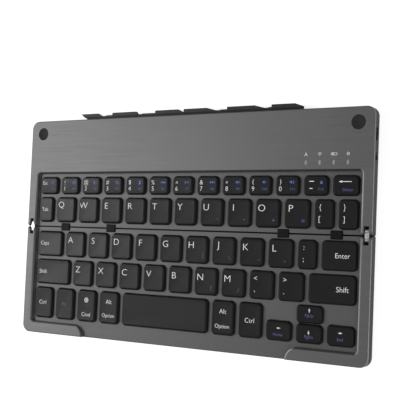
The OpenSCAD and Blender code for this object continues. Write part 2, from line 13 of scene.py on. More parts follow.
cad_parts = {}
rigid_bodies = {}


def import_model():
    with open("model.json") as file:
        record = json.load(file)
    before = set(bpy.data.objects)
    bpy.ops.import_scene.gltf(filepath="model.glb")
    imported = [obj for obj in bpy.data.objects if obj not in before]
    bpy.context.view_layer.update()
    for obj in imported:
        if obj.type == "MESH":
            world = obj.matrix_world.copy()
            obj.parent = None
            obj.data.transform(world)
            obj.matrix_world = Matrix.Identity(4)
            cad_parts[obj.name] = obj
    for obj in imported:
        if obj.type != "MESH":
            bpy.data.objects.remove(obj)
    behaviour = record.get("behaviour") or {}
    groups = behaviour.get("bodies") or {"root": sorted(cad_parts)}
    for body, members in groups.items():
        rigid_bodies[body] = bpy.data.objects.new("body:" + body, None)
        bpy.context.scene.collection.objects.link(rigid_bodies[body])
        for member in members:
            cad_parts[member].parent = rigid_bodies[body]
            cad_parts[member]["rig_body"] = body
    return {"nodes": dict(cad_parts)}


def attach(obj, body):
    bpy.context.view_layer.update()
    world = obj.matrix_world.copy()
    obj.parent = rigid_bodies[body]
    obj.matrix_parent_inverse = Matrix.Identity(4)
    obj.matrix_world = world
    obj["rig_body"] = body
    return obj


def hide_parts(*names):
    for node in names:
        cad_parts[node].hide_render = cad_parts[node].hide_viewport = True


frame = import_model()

LOG = logging.getLogger("folding_keyboard")
MM = 0.001
FOLD_Y = -1.65
SMOOTH_ANGLE = 35.0
BEVEL_ANGLE = 40.0
FEET_X = 98.0
WHITE = (1.0, 1.0, 1.0, 1.0)
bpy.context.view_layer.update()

Point2 = tuple[float, float]
Point3 = tuple[float, float, float]
Colour = tuple[float, float, float]


class Half(Enum):
    """The bodies that carry dressed pieces."""

    UPPER = "upper_half"
    LOWER = "lower_half"
    LINK = "fold_link"
    STAND = "stand"


class Ink(Enum):
    """Printing colours on the keys."""

    WHITE = 0
    VIOLET = 1
    BLUE = 2


FEET_ROWS = (("upper", Half.UPPER, (10, 56)), ("lower", Half.LOWER, (-56, -10)))


# --------------------------------------------------------------------------------------------------
# Materials


class NodeBench:
    """A node tree with short calls to add and wire nodes."""

    def __init__(self, tree: bpy.types.NodeTree) -> None:
        """Hold the tree."""
        self.tree = tree

    def feed(self, socket: bpy.types.NodeSocket, value: object) -> None:
        """Wire a socket to an input, or set the input to a constant."""
        if isinstance(value, bpy.types.NodeSocket):
            self.tree.links.new(value, socket)
        else:
            socket.default_value = value

    def node(self, kind: str, *inputs: object, **values: object) -> bpy.types.Node:
        """Add a node, set its properties and feed its inputs.

        Args:
            kind: Node type.
            *inputs: Sockets or constants for the first inputs, in their order.
            **values: Property names, or input names with underscores for spaces.

        Returns:
            The new node.
        """
        made = self.tree.nodes.new(kind)
        for key, value in values.items():
            if hasattr(made, key):
                setattr(made, key, value)
            else:
                self.feed(made.inputs[key.replace("_", " ")], value)
        for socket, value in zip(made.inputs, inputs):
            self.feed(socket, value)
        return made

    def sums(self, operation: str, *values: object) -> bpy.types.NodeSocket:
        """Result of a sum on sockets and numbers."""
        return self.node("ShaderNodeMath", *values, operation=operation).outputs[0]


class NodeSheet(NodeBench):
    """A material's node tree with a principled shader and object coordinates."""

    noise_low: ClassVar[float] = 0.25
    noise_high: ClassVar[float] = 0.75

    def __init__(self, name: str) -> None:
        """Start the sheet of a named material."""
        self.material = bpy.data.materials.new(name)
        self.material.use_nodes = True
        super().__init__(self.material.node_tree)
        self.tree.nodes.clear()
        self.shader = self.node("ShaderNodeBsdfPrincipled")
        self.output = self.node("ShaderNodeOutputMaterial", Surface=self.shader.outputs["BSDF"])
        self.place = self.node("ShaderNodeTexCoord").outputs["Object"]

    def noise(self, vector: bpy.types.NodeSocket, scale: float, detail: float = 3.0,
              roughness: float = 0.55) -> bpy.types.NodeSocket:
        """Noise factor at a scale per metre, with its octaves and the share kept by each."""
        return self.node("ShaderNodeTexNoise", Vector=vector, Scale=scale, Detail=detail,
                         Roughness=roughness).outputs["Fac"]

    def ramp(self, factor: bpy.types.NodeSocket,
             *stops: tuple[float, Colour]) -> bpy.types.NodeSocket:
        """Colour of a factor between two stops, each a position and a colour."""
        made = self.node("ShaderNodeValToRGB", Fac=factor)
        for element, (position, colour) in zip(made.color_ramp.elements, stops):
            element.position = position
            element.color = (*colour, 1.0)
        return made.outputs["Color"]

    def span(self, factor: bpy.types.NodeSocket, low: float, high: float) -> bpy.types.NodeSocket:
        """Map a noise factor to a range, from its low to its high level."""
        return self.node("ShaderNodeMapRange", Value=factor, From_Min=self.noise_low,
                         From_Max=self.noise_high, To_Min=low, To_Max=high).outputs["Result"]

    def bump(self, height: bpy.types.NodeSocket, distance: float) -> None:
        """Drive the shader's normals from a height, to a depth in metres."""
        made = self.node("ShaderNodeBump", Height=height, Distance=distance, Strength=1.0)
        self.tune(Normal=made.outputs["Normal"], Coat_Normal=made.outputs["Normal"])

    def tune(self, **values: object) -> None:
        """Feed the shader's own inputs."""
        for key, value in values.items():
            self.feed(self.shader.inputs[key.replace("_", " ")], value)


@dataclass(frozen=True)
class Finish:
    """A named surface finish."""

    name: str

    def build(self) -> bpy.types.Material:
        """Make the material."""
        sheet = NodeSheet(self.name)
        self.paint(sheet)
        return sheet.material

    def paint(self, sheet: NodeSheet) -> None:
        """Lay the finish out on a fresh sheet."""
        raise NotImplementedError


@dataclass(frozen=True)
class MetalFinish(Finish):
    """Satin metal with a fine grain that runs along X."""

    dark: Colour
    light: Colour
    metallic: float = 0.5
    rough_low: float = 0.38
    rough_high: float = 0.5
    grain: float = 900.0
    stretch: float = 0.03
    depth: float = 0.000012
    cloud: ClassVar[float] = 26.0
    speck: ClassVar[float] = 5200.0
    grain_share: ClassVar[float] = 0.7
    speck_share: ClassVar[float] = 0.4
    stops: ClassVar[Point2] = (0.34, 0.66)

    def paint(self, sheet: NodeSheet) -> None:
        """Lay grain lines over a faint cloud, with specks in the bump."""
        along = sheet.node("ShaderNodeMapping", Vector=sheet.place, Scale=(self.stretch, 1.0, 1.0))
        lines = sheet.noise(along.outputs["Vector"], self.grain, detail=4.0, roughness=0.6)
        clouds = sheet.noise(sheet.place, self.cloud, detail=2.0)
        faint = sheet.sums("MULTIPLY", clouds, 1 - self.grain_share)
        tone = sheet.sums("MULTIPLY_ADD", lines, self.grain_share, faint)
        specks = sheet.noise(sheet.place, self.speck, detail=2.0)
        sheet.tune(Base_Color=sheet.ramp(tone, (self.stops[0], self.dark), (self.stops[1], self.light)),
                   Roughness=sheet.span(lines, self.rough_low, self.rough_high), Metallic=self.metallic)
        sheet.bump(sheet.sums("MULTIPLY_ADD", specks, self.speck_share, lines), self.depth)


@dataclass(frozen=True)
class PlasticFinish(Finish):
    """Moulded plastic or rubber with a fine spark-eroded texture."""

    dark: Colour
    light: Colour
    rough_low: float = 0.45
    rough_high: float = 0.6
    texture: float = 3800.0
    depth: float = 0.00002
    specular: float = 0.5
    coat: float = 0.0
    coat_rough: float = 0.1
    broad: ClassVar[float] = 45.0
    cell_scale: ClassVar[float] = 0.6
    cell_share: ClassVar[float] = 0.5
    stops: ClassVar[Point2] = (0.3, 0.7)

    def paint(self, sheet: NodeSheet) -> None:
        """Lay a fine texture with cells over a broad change of tone."""
        fine = sheet.noise(sheet.place, self.texture, roughness=0.6)
        tone = sheet.noise(sheet.place, self.broad)
        cells = sheet.node("ShaderNodeTexVoronoi", Vector=sheet.place, Scale=self.texture * self.cell_scale)
        sheet.tune(Base_Color=sheet.ramp(tone, (self.stops[0], self.dark), (self.stops[1], self.light)),
                   Roughness=sheet.span(fine, self.rough_low, self.rough_high),
                   Specular_IOR_Level=self.specular, Coat_Weight=self.coat, Coat_Roughness=self.coat_rough)
        sheet.bump(sheet.sums("MULTIPLY_ADD", cells.outputs["Distance"], self.cell_share, fine), self.depth)


@dataclass(frozen=True)
class InkFinish(Finish):
    """Thin print with slightly uneven cover."""

    thin: Colour
    full: Colour
    patches: ClassVar[float] = 1900.0
    stops: ClassVar[Point2] = (0.3, 0.6)
    rough: ClassVar[Point2] = (0.45, 0.6)

    def paint(self, sheet: NodeSheet) -> None:
        """Lay the ink thin in fine patches."""
        cover = sheet.noise(sheet.place, self.patches, detail=2.0)
        sheet.tune(Base_Color=sheet.ramp(cover, (self.stops[0], self.thin), (self.stops[1], self.full)),
                   Roughness=sheet.span(cover, *self.rough), Specular_IOR_Level=0.3)


@dataclass(frozen=True)
class BoardFinish(Finish):
    """Green solder mask with fine copper tracks under it."""

    masks: ClassVar[tuple[Colour, Colour]] = ((0.01, 0.09, 0.04), (0.012, 0.12, 0.05))
    track: ClassVar[Colour] = (0.04, 0.24, 0.1)
    depth: ClassVar[float] = 0.00003

    def paint(self, sheet: NodeSheet) -> None:
        """Lay the tracks out as a fine brick pattern."""
        one, two, track = ((*colour, 1.0) for colour in (*self.masks, self.track))
        tracks = sheet.node("ShaderNodeTexBrick", Vector=sheet.place, Scale=420.0, Mortar_Size=0.06,
                            Color1=one, Color2=two, Mortar=track)
        sheet.tune(Base_Color=tracks.outputs["Color"], Roughness=0.3, Coat_Weight=0.3)
        sheet.bump(tracks.outputs["Fac"], self.depth)


@dataclass(frozen=True)
class FoilFinish(Finish):
    """Crinkled foil pouch."""

    dark: ClassVar[Colour] = (0.5, 0.51, 0.53)
    light: ClassVar[Colour] = (0.68, 0.69, 0.71)
    stops: ClassVar[Point2] = (0.3, 0.7)
    rough: ClassVar[Point2] = (0.25, 0.4)
    crease: ClassVar[float] = 160.0
    depth: ClassVar[float] = 0.0003

    def paint(self, sheet: NodeSheet) -> None:
        """Lay broad creases."""
        creases = sheet.noise(sheet.place, self.crease, detail=5.0, roughness=0.6)
        sheet.tune(Base_Color=sheet.ramp(creases, (self.stops[0], self.dark), (self.stops[1], self.light)),
                   Roughness=sheet.span(creases, *self.rough), Metallic=0.9)
        sheet.bump(creases, self.depth)


def grey(level: float, blue: float = 0.0) -> Colour:
    """Grey of a level, with another level of blue where one is given."""
    return level, level, blue or level


@dataclass
class Palette:
    """Every material of the keyboard, built once."""

    made: dict[str, bpy.types.Material] = field(default_factory=dict)
    finishes: ClassVar[tuple[Finish, ...]] = (
        MetalFinish("gunmetal_satin", grey(0.104, 0.105), grey(0.12, 0.121), 0.45, 0.42, 0.52),
        PlasticFinish("underside_shell", grey(0.085, 0.087), grey(0.105, 0.107), 0.5, 0.65, 2600.0, 0.00005),
        # painted shade: a darker copy of the satin metal for the deck between the keys, where shade falls
        MetalFinish("gunmetal_deck_shade", grey(0.084, 0.085), grey(0.096, 0.097), 0.4, 0.45, 0.55),
        # painted highlight and painted shade: lit and shaded copies of the satin metal for the case edges
        MetalFinish("edge_lit", grey(0.24, 0.241), grey(0.3, 0.301), 0.3, 0.36, 0.46),
        # painted highlight, softer, for the pocket chamfer that faces the left lamp
        MetalFinish("edge_soft_highlight", grey(0.165, 0.166), grey(0.21, 0.211), 0.3, 0.38, 0.48),
        # painted shade for the chamfers of the front and rear pocket walls
        MetalFinish("edge_shade", grey(0.014, 0.0142), grey(0.02, 0.0202), 0.3, 0.5, 0.6),
        PlasticFinish("key_charcoal", grey(0.0135, 0.0138), grey(0.0158, 0.0161), 0.5, 0.62, 5200.0, 0.00002,
                      0.06, 0.13, 0.135),
        PlasticFinish("pad_rubber", grey(0.013), grey(0.019), 0.65, 0.8, 2400.0, 0.00005, 0.25),
        PlasticFinish("foot_rubber", grey(0.01), grey(0.018), 0.7, 0.85, 2000.0, 0.00006, 0.3),
        PlasticFinish("comb_plastic", grey(0.007, 0.0072), grey(0.0105, 0.0107), 0.42, 0.55, 3000.0, 0.00003,
                      0.3),
        PlasticFinish("leaf_plastic", grey(0.016, 0.017), grey(0.024, 0.025), 0.5, 0.65, 2600.0, 0.00005),
        PlasticFinish("spine_plastic", grey(0.003), grey(0.005), 0.5, 0.65, 3000.0, 0.00003, 0.12),
        PlasticFinish("dome_silicone", (0.3, 0.31, 0.32), (0.42, 0.43, 0.44), 0.4, 0.5, 900.0, 0.00002),
        PlasticFinish("lens_frosted", (0.25, 0.255, 0.26), (0.33, 0.335, 0.34), 0.3, 0.4, 2500.0, 0.00001,
                      0.3, 0.2),
        MetalFinish("link_silver", grey(0.5, 0.51), grey(0.68, 0.69), 0.9, 0.25, 0.38, 1400.0, 0.2, 0.00002),
        MetalFinish("pin_steel", grey(0.45, 0.46), grey(0.6, 0.61), 1.0, 0.2, 0.32, 2200.0, 0.1, 0.00001),
        MetalFinish("plate_steel", grey(0.4, 0.41), grey(0.52, 0.53), 0.9, 0.3, 0.42, 1100.0, 0.05, 0.00002),
        MetalFinish("screw_dark", grey(0.1, 0.105), grey(0.2, 0.205), 0.9, 0.3, 0.45, 2500.0, 1.0, 0.00002),
        MetalFinish("socket_nickel", grey(0.03, 0.031), grey(0.05, 0.052), 0.9, 0.3, 0.42, 1500.0, 0.3,
                    0.00001),
        InkFinish("print_white", grey(0.8), grey(0.92)),
        InkFinish("print_violet", (0.11, 0.12, 0.33), (0.14, 0.15, 0.42)),
        InkFinish("print_blue", (0.08, 0.15, 0.5), (0.1, 0.2, 0.66)),
        InkFinish("print_grey", grey(0.74), grey(0.88)),
        BoardFinish("board_mask"),
        FoilFinish("cell_foil"),
    )

    def build(self) -> None:
        """Build all the finishes."""
        for finish in self.finishes:
            self.made[finish.name] = finish.build()

    def __getitem__(self, name: str) -> bpy.types.Material:
        """Material by name."""
        return self.made[name]


PALETTE = Palette()


# --------------------------------------------------------------------------------------------------
# Mesh tools


def add_object(name: str, data: bpy.types.ID) -> bpy.types.Object:
    """Put data into the scene as an object at the origin."""
    item = bpy.data.objects.new(name, data)
    bpy.context.scene.collection.objects.link(item)
    return item


def polar(r: float, degrees: float, x: float = 0.0, y: float = 0.0) -> Point2:
    """Point at a distance and angle from a centre."""
    angle = math.radians(degrees)
    return x + r * math.cos(angle), y + r * math.sin(angle)


def rounded_outline(x0: float, x1: float, y0: float, y1: float, r: float, steps: int) -> list[Point2]:
    """Closed outline of a rectangle with round corners, counter-clockwise.

    Args:
        x0: Low X.
        x1: High X.
        y0: Low Y.
        y1: High Y.
        r: Corner radius.
        steps: Segments in each corner.

    Returns:
        The outline's points.
    """
    least_flat, least_r = 1e-4, 1e-3
    r = max(min(r, (x1 - x0) / 2 - least_flat, (y1 - y0) / 2 - least_flat), least_r)
    corners = [(x1 - r, y0 + r), (x1 - r, y1 - r), (x0 + r, y1 - r), (x0 + r, y0 + r)]
    return [polar(r, -90 + 90 * k + 90 * i / steps, cx, cy)
            for k, (cx, cy) in enumerate(corners) for i in range(steps + 1)]


@dataclass
class Builder:
    """A mesh in millimetres, measured from the fold line, that becomes an object in the frame."""

    name: str
    bm: bmesh.types.BMesh = field(default_factory=bmesh.new)

    def lofted(self, loops: Sequence[tuple[Sequence[Point2], float]], material: int = 0) -> None:
        """Closed solid through stacked outlines of equal length, listed from the bottom up.

        Args:
            loops: Outlines and their heights.
            material: Material index of its faces.
        """
        rings = [[self.bm.verts.new((x, y, z)) for x, y in outline] for outline, z in loops]
        faces = [self.bm.faces.new(list(reversed(rings[0]))), self.bm.faces.new(rings[-1])]
        for low, high in zip(rings, rings[1:]):
            for i in range(len(low)):
                j = (i + 1) % len(low)
                faces.append(self.bm.faces.new((low[i], low[j], high[j], high[i])))
        for face in faces:
            face.material_index = material

    def prism(self, outline: Sequence[Point2], z0: float, z1: float, material: int = 0) -> None:
        """Straight prism between two heights on an outline, whose corners may run either way round."""
        points = list(outline)
        area = sum(a[0] * b[1] - b[0] * a[1] for a, b in zip(points, points[1:] + points[:1]))
        points = points if area > 0 else points[::-1]
        self.lofted([(points, z0), (points, z1)], material)

    def block(self, box: tuple[float, float, float, float], corner: float, least: float,
              rings: Iterable[Point2], steps: int) -> None:
        """Closed block with round upright corners.

        Args:
            box: Its low X, high X, low Y and high Y.
            corner: Corner radius, less at an inset ring.
            least: Smallest corner radius of a ring.
            rings: Inset and height of each ring, from the bottom up.
            steps: Segments in each corner.
        """
        x0, x1, y0, y1 = box
        self.lofted([(rounded_outline(x0 + t, x1 - t, y0 + t, y1 - t, max(corner - t, least), steps), z)
                     for t, z in rings])

    def turned(self, profile: Sequence[Point2], centre: Vector, steps: int) -> None:
        """Upright solid of revolution from (radius, height) points that start and end on the axis.

        Args:
            profile: Radii and heights, bottom to top, with radius 0 at both ends.
            centre: Point of the axis at height 0.
            steps: Segments round it.
        """
        rings = []
        for r, h in profile:
            angles = [2 * math.pi * i / steps for i in range(steps if r else 1)]
            rings.append([self.bm.verts.new(centre + Vector((r * math.cos(a), r * math.sin(a), h)))
                          for a in angles])
        for low, high in zip(rings, rings[1:]):
            for i in range(steps):
                j = (i + 1) % steps
                if len(low) == 1:
                    corners = (low[0], high[j], high[i])
                elif len(high) == 1:
                    corners = (low[i], low[j], high[0])
                else:
                    corners = (low[i], low[j], high[j], high[i])
                self.bm.faces.new(corners)

    def finish(self, materials: Sequence[str], body: Half | str, slot: str, replaces: Sequence[str] = (),
               smooth: float = SMOOTH_ANGLE) -> None:
        """Turn the mesh into a piece that rides on a body.

        Args:
            materials: Names of its finishes, by material index.
            body: Body that carries it.
            slot: The record's material slot; not used.
            replaces: CAD nodes that it stands for.
            smooth: Largest angle between faces that shade as one, in degrees.
        """
        self.bm.transform(Matrix.Translation((0, FOLD_Y * MM, 0)) @ Matrix.Scale(MM, 4))
        mesh = bpy.data.meshes.new(self.name)
        self.bm.to_mesh(mesh)
        self.bm.free()
        for name in materials:
            mesh.materials.append(PALETTE[name])
        shade(mesh, smooth)
        settle(add_object(self.name, mesh), body, replaces)


def shade(mesh: bpy.types.Mesh, angle: float) -> None:
    """Smooth shading with edges kept sharp past an angle."""
    mesh.shade_smooth()
    mesh.set_sharp_from_angle(angle=math.radians(angle))


def bake(piece: bpy.types.Object) -> None:
    """Replace a piece's mesh by its evaluated one and drop the modifiers."""
    bpy.context.view_layer.update()
    graph = bpy.context.evaluated_depsgraph_get()
    mesh = bpy.data.meshes.new_from_object(piece.evaluated_get(graph))
    piece.modifiers.clear()
    old = piece.data
    piece.data = mesh
    if old.users == 0:
        bpy.data.meshes.remove(old)


def flatten_normals(piece: bpy.types.Object) -> None:
    """Let the large flat faces rule the shading of the small ones beside them."""
    modifier = piece.modifiers.new("even", "WEIGHTED_NORMAL")
    modifier.mode = "FACE_AREA"
    modifier.weight = 100
    modifier.keep_sharp = True
    bake(piece)


def bake_bevel(piece: bpy.types.Object, width: float, levels: int) -> None:
    """Round a mesh's sharp edges for good.

    Args:
        piece: The piece.
        width: Width in millimetres.
        levels: Segments.
    """
    modifier = piece.modifiers.new("edge", "BEVEL")
    modifier.width = width * MM
    modifier.segments = levels
    modifier.limit_method = "ANGLE"
    modifier.angle_limit = math.radians(BEVEL_ANGLE)
    modifier.use_clamp_overlap = True
    modifier.miter_outer = "MITER_ARC"
    bake(piece)


def settle(piece: bpy.types.Object, body: Half | str, replaces: Sequence[str] = ()) -> None:
    """Put a finished piece on its body and the nodes that it stands for.

    Args:
        piece: The finished piece.
        body: Body that carries it.
        replaces: CAD nodes that it stands for.
    """
    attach(piece, body.value if isinstance(body, Half) else body)
    if replaces:
        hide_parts(*replaces)
    LOG.info("%s: %d faces", piece.name, len(piece.data.polygons))


@dataclass(frozen=True)
class RowSpacing:
    """Draws the key windows, pocket edge and lens windows of a top case to the rows' close spacing."""

    reach_x: float = 112.7
    solid: tuple[float, ...] = (-59.0, -40.9, -40.0, -37.9, -21.9, -19.1, 19.1, 21.9, 32.9, 44.0, 52.0)
    close: tuple[float, ...] = (-59.0, -39.3, -38.4, -37.1, -21.1, -19.1, 19.1, 21.1, 32.1, 43.2, 52.0)

    def y(self, value: float) -> float:
        """Y of the close spacing for a Y of the solids, both in millimetres from the fold."""
        for a, b, c, d in zip(self.solid, self.solid[1:], self.close, self.close[1:]):
            if a <= value <= b:
                return c + (value - a) * (d - c) / (b - a)
        return value

    def apply(self, bm: bmesh.types.BMesh) -> None:
        """Move the points that lie inside the rims."""
        for vert in bm.verts:
            if abs(vert.co.x) < self.reach_x * MM:
                vert.co.y = (self.y(vert.co.y / MM - FOLD_Y) + FOLD_Y) * MM


@dataclass(frozen=True)
class Refined:
    """A CAD node shown as a clean copy with fine rounded edges."""

    node: str
    finish: str
    slot: str
    bevel: float
    levels: int = 2
    spacing: RowSpacing | None = None
    weld: ClassVar[float] = 2e-6
    flat_angle: ClassVar[float] = 0.4
    smooth: ClassVar[float] = 30.0

    def build(self) -> bpy.types.Object:
        """Make the copy and let it stand for its node.

        Returns:
            The finished piece.
        """
        source = frame["nodes"][self.node]
        bm = bmesh.new()
        bm.from_mesh(source.data)
        bmesh.ops.remove_doubles(bm, verts=bm.verts, dist=self.weld)
        flat = math.radians(self.flat_angle)
        bmesh.ops.dissolve_limit(bm, angle_limit=flat, verts=bm.verts, edges=bm.edges)
        if self.spacing:
            self.spacing.apply(bm)
        mesh = bpy.data.meshes.new(self.node + "_dressed")
        bm.to_mesh(mesh)
        bm.free()
        mesh.materials.append(PALETTE[self.finish])
        for polygon in mesh.polygons:
            polygon.material_index = 0
        piece = add_object(self.node + "_dressed", mesh)
        bake_bevel(piece, self.bevel, self.levels)
        shade(piece.data, self.smooth)
        flatten_normals(piece)
        settle(piece, source["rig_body"], [self.node])
        return piece


@dataclass
class Dressing:
    """A sub-assembly whose CAD pieces are shown as refined copies."""

    pieces: tuple[Refined, ...] = ()

    def build(self) -> None:
        """Dress the pieces."""
        for piece in self.pieces:
            piece.build()


# --------------------------------------------------------------------------------------------------
# Print on the keys


class Pen:
    """Draws words and simple signs as thin prisms on a flat face."""

    height_of_h: float = 0.0
    small_cap: ClassVar[float] = 3.2
    slim: ClassVar[float] = -0.014
    slim_small: ClassVar[float] = -0.009
    sunk: ClassVar[float] = 0.01
    arc_step: ClassVar[float] = 20.0
    least_steps: ClassVar[int] = 6

    def __init__(self, builder: Builder, z: float, thickness: float) -> None:
        """Hold the builder, with the height of the face and the thickness of the print."""
        self.builder = builder
        self.z0 = z - self.sunk
        self.z1 = z + thickness

    @staticmethod
    def glyphs(text: str, slim: float = 0.0) -> tuple[list[Vector], list[tuple[int, ...]]]:
        """Outline faces of a text at unit size.

        Args:
            text: What to write.
            slim: Growth of the strokes, negative for thin ones.

        Returns:
            Points and faces.
        """
        curve = bpy.data.curves.new("print", "FONT")
        curve.body = text
        curve.size = 1.0
        curve.offset = slim
        curve.resolution_u = 3
        item = add_object("print", curve)
        bpy.context.view_layer.update()
        mesh = bpy.data.meshes.new_from_object(item.evaluated_get(bpy.context.evaluated_depsgraph_get()))
        points = [v.co.copy() for v in mesh.vertices]
        faces = [tuple(p.vertices) for p in mesh.polygons]
        bpy.data.objects.remove(item)
        bpy.data.curves.remove(curve)
        bpy.data.meshes.remove(mesh)
        return points, faces

    def word(self, text: str, x: float, y: float, cap: float, ink: Ink, narrow: float = 1.0) -> None:
        """Write a word centred on a point.

        Args:
            text: What to write.
            x: Centre X.
            y: Centre Y.
            cap: Height of a capital.
            ink: Printing colour.
            narrow: Width factor.
        """
        if not Pen.height_of_h:
            points, _ = self.glyphs("H")
            Pen.height_of_h = max(p.y for p in points) - min(p.y for p in points)
        points, faces = self.glyphs(text, self.slim if cap > self.small_cap else self.slim_small)
        scale = cap / Pen.height_of_h
        middle_x = (max(p.x for p in points) + min(p.x for p in points)) / 2
        middle_y = (max(p.y for p in points) + min(p.y for p in points)) / 2
        flat = [(x + (p.x - middle_x) * scale * narrow, y + (p.y - middle_y) * scale) for p in points]
        bm = self.builder.bm
        low, high = ([bm.verts.new((px, py, z)) for px, py in flat] for z in (self.z0, self.z1))
        made = []
        for face in faces:
            made.append(bm.faces.new([high[i] for i in face]))
            made.append(bm.faces.new([low[i] for i in reversed(face)]))
        edges = dict.fromkeys((a, b) for face in faces for a, b in zip(face, face[1:] + face[:1]))
        made += [bm.faces.new((high[a], low[a], low[b], high[b])) for a, b in edges if (b, a) not in edges]
        for face in made:
            face.material_index = ink.value

    def area(self, outline: Sequence[Point2], ink: Ink) -> None:
        """Fill a simple outline."""
        self.builder.prism(outline, self.z0, self.z1, ink.value)

    def stroke(self, path: Sequence[Point2], width: float, ink: Ink) -> None:
        """Draw straight strokes along a path.

        Args:
            path: Its points.
            width: Width of the stroke.
            ink: Printing colour.
        """
        for (ax, ay), (bx, by) in zip(path, path[1:]):
            length = math.hypot(bx - ax, by - ay)
            ex, ey = (bx - ax) / length * width / 2, (by - ay) / length * width / 2
            self.area([(ax - ex - ey, ay - ey + ex), (ax - ex + ey, ay - ey - ex),
                       (bx + ex + ey, by + ey - ex), (bx + ex - ey, by + ey + ex)], ink)

    def arc(self, x: float, y: float, r: float, width: float, ink: Ink, a0: float, a1: float) -> None:
        """Draw a ring or an arc with square ends.

        Args:
            x: Centre X.
            y: Centre Y.
            r: Middle radius.
            width: Width of the stroke.
            ink: Printing colour.
            a0: First angle in degrees.
            a1: Last angle in degrees.
        """
        steps = max(self.least_steps, int(abs(a1 - a0) / self.arc_step))
        inner, outer = r - width / 2, r + width / 2
        for i in range(steps):
            b0, b1 = (a0 + (a1 - a0) * k / steps for k in (i, i + 1))
            self.area([polar(inner, b0, x, y), polar(outer, b0, x, y), polar(outer, b1, x, y),
                       polar(inner, b1, x, y)], ink)


@dataclass(frozen=True)
class Stroke:
    """Line of a sign along a path; a sign's parts are given for a size of 1."""

    path: tuple[Point2, ...]
    width: float

    def draw(self, pen: Pen, x: float, y: float, size: float, ink: Ink) -> None:
        """Draw it at a size and place."""
        pen.stroke([(x + u * size, y + v * size) for u, v in self.path], self.width * size, ink)


@dataclass(frozen=True)
class Patch:
    """Filled outline of a sign."""

    outline: tuple[Point2, ...]

    def draw(self, pen: Pen, x: float, y: float, size: float, ink: Ink) -> None:
        """Draw it at a size and place."""
        pen.area([(x + u * size, y + v * size) for u, v in self.outline], ink)


@dataclass(frozen=True)
class Bow:
    """Ring or arc of a sign."""

    x: float
    y: float
    r: float
    width: float
    a0: float = 0.0
    a1: float = 360.0

    def draw(self, pen: Pen, x: float, y: float, size: float, ink: Ink) -> None:
        """Draw it at a size and place."""
        pen.arc(x + self.x * size, y + self.y * size, self.r * size, self.width * size, ink, self.a0, self.a1)


def upright_bar(x: float) -> Stroke:
    """Upright bar of a player sign."""
    return Stroke(((x, -0.4), (x, 0.4)), 0.16)


def triangle(x: float, way: int) -> Patch:
    """Filled triangle that points right for 1 and left for -1."""
    return Patch(((x - way / 2, -0.5), (x - way / 2, 0.5), (x + way / 2, 0.0)))


def horn(x: float) -> Patch:
    """Loudspeaker body."""
    rear, neck = x - 0.5, x - 0.25
    return Patch(((rear, -0.16), (neck, -0.16), (x, -0.42), (x, 0.42), (neck, 0.16), (rear, 0.16)))


def crescent() -> tuple[Patch, ...]:
    """Patches between the two arcs of a crescent."""
    outer = [polar(0.5, a) for a in range(60, 253, 24)]
    inner = [(0.2 + polar(0.38, a)[0], polar(0.4, a)[1]) for a in range(84, 277, 24)]
    return tuple(Patch((a, b, d, c)) for a, b, c, d in zip(outer, outer[1:], inner, inner[1:]))


def arrow(length: float, angle: float, head: float = 0.95) -> tuple[Patch, Stroke]:
    """Arrow along an angle: its head and its shaft.

    Args:
        length: Length of the arrow.
        angle: Where it points, in degrees from the right.
        head: Length of its head.

    Returns:
        The parts.
    """
    c, t = polar(1.0, angle)
    tip = length / 2
    neck, half = tip - head, head * 0.36

    def put(u: float, v: float) -> Point2:
        """Turn a point of the arrow into place."""
        return u * c - v * t, u * t + v * c

    return (Patch((put(tip, 0), put(neck, half), put(neck, -half))),
            Stroke((put(neck, 0), put(-tip, 0)), head * 0.2))


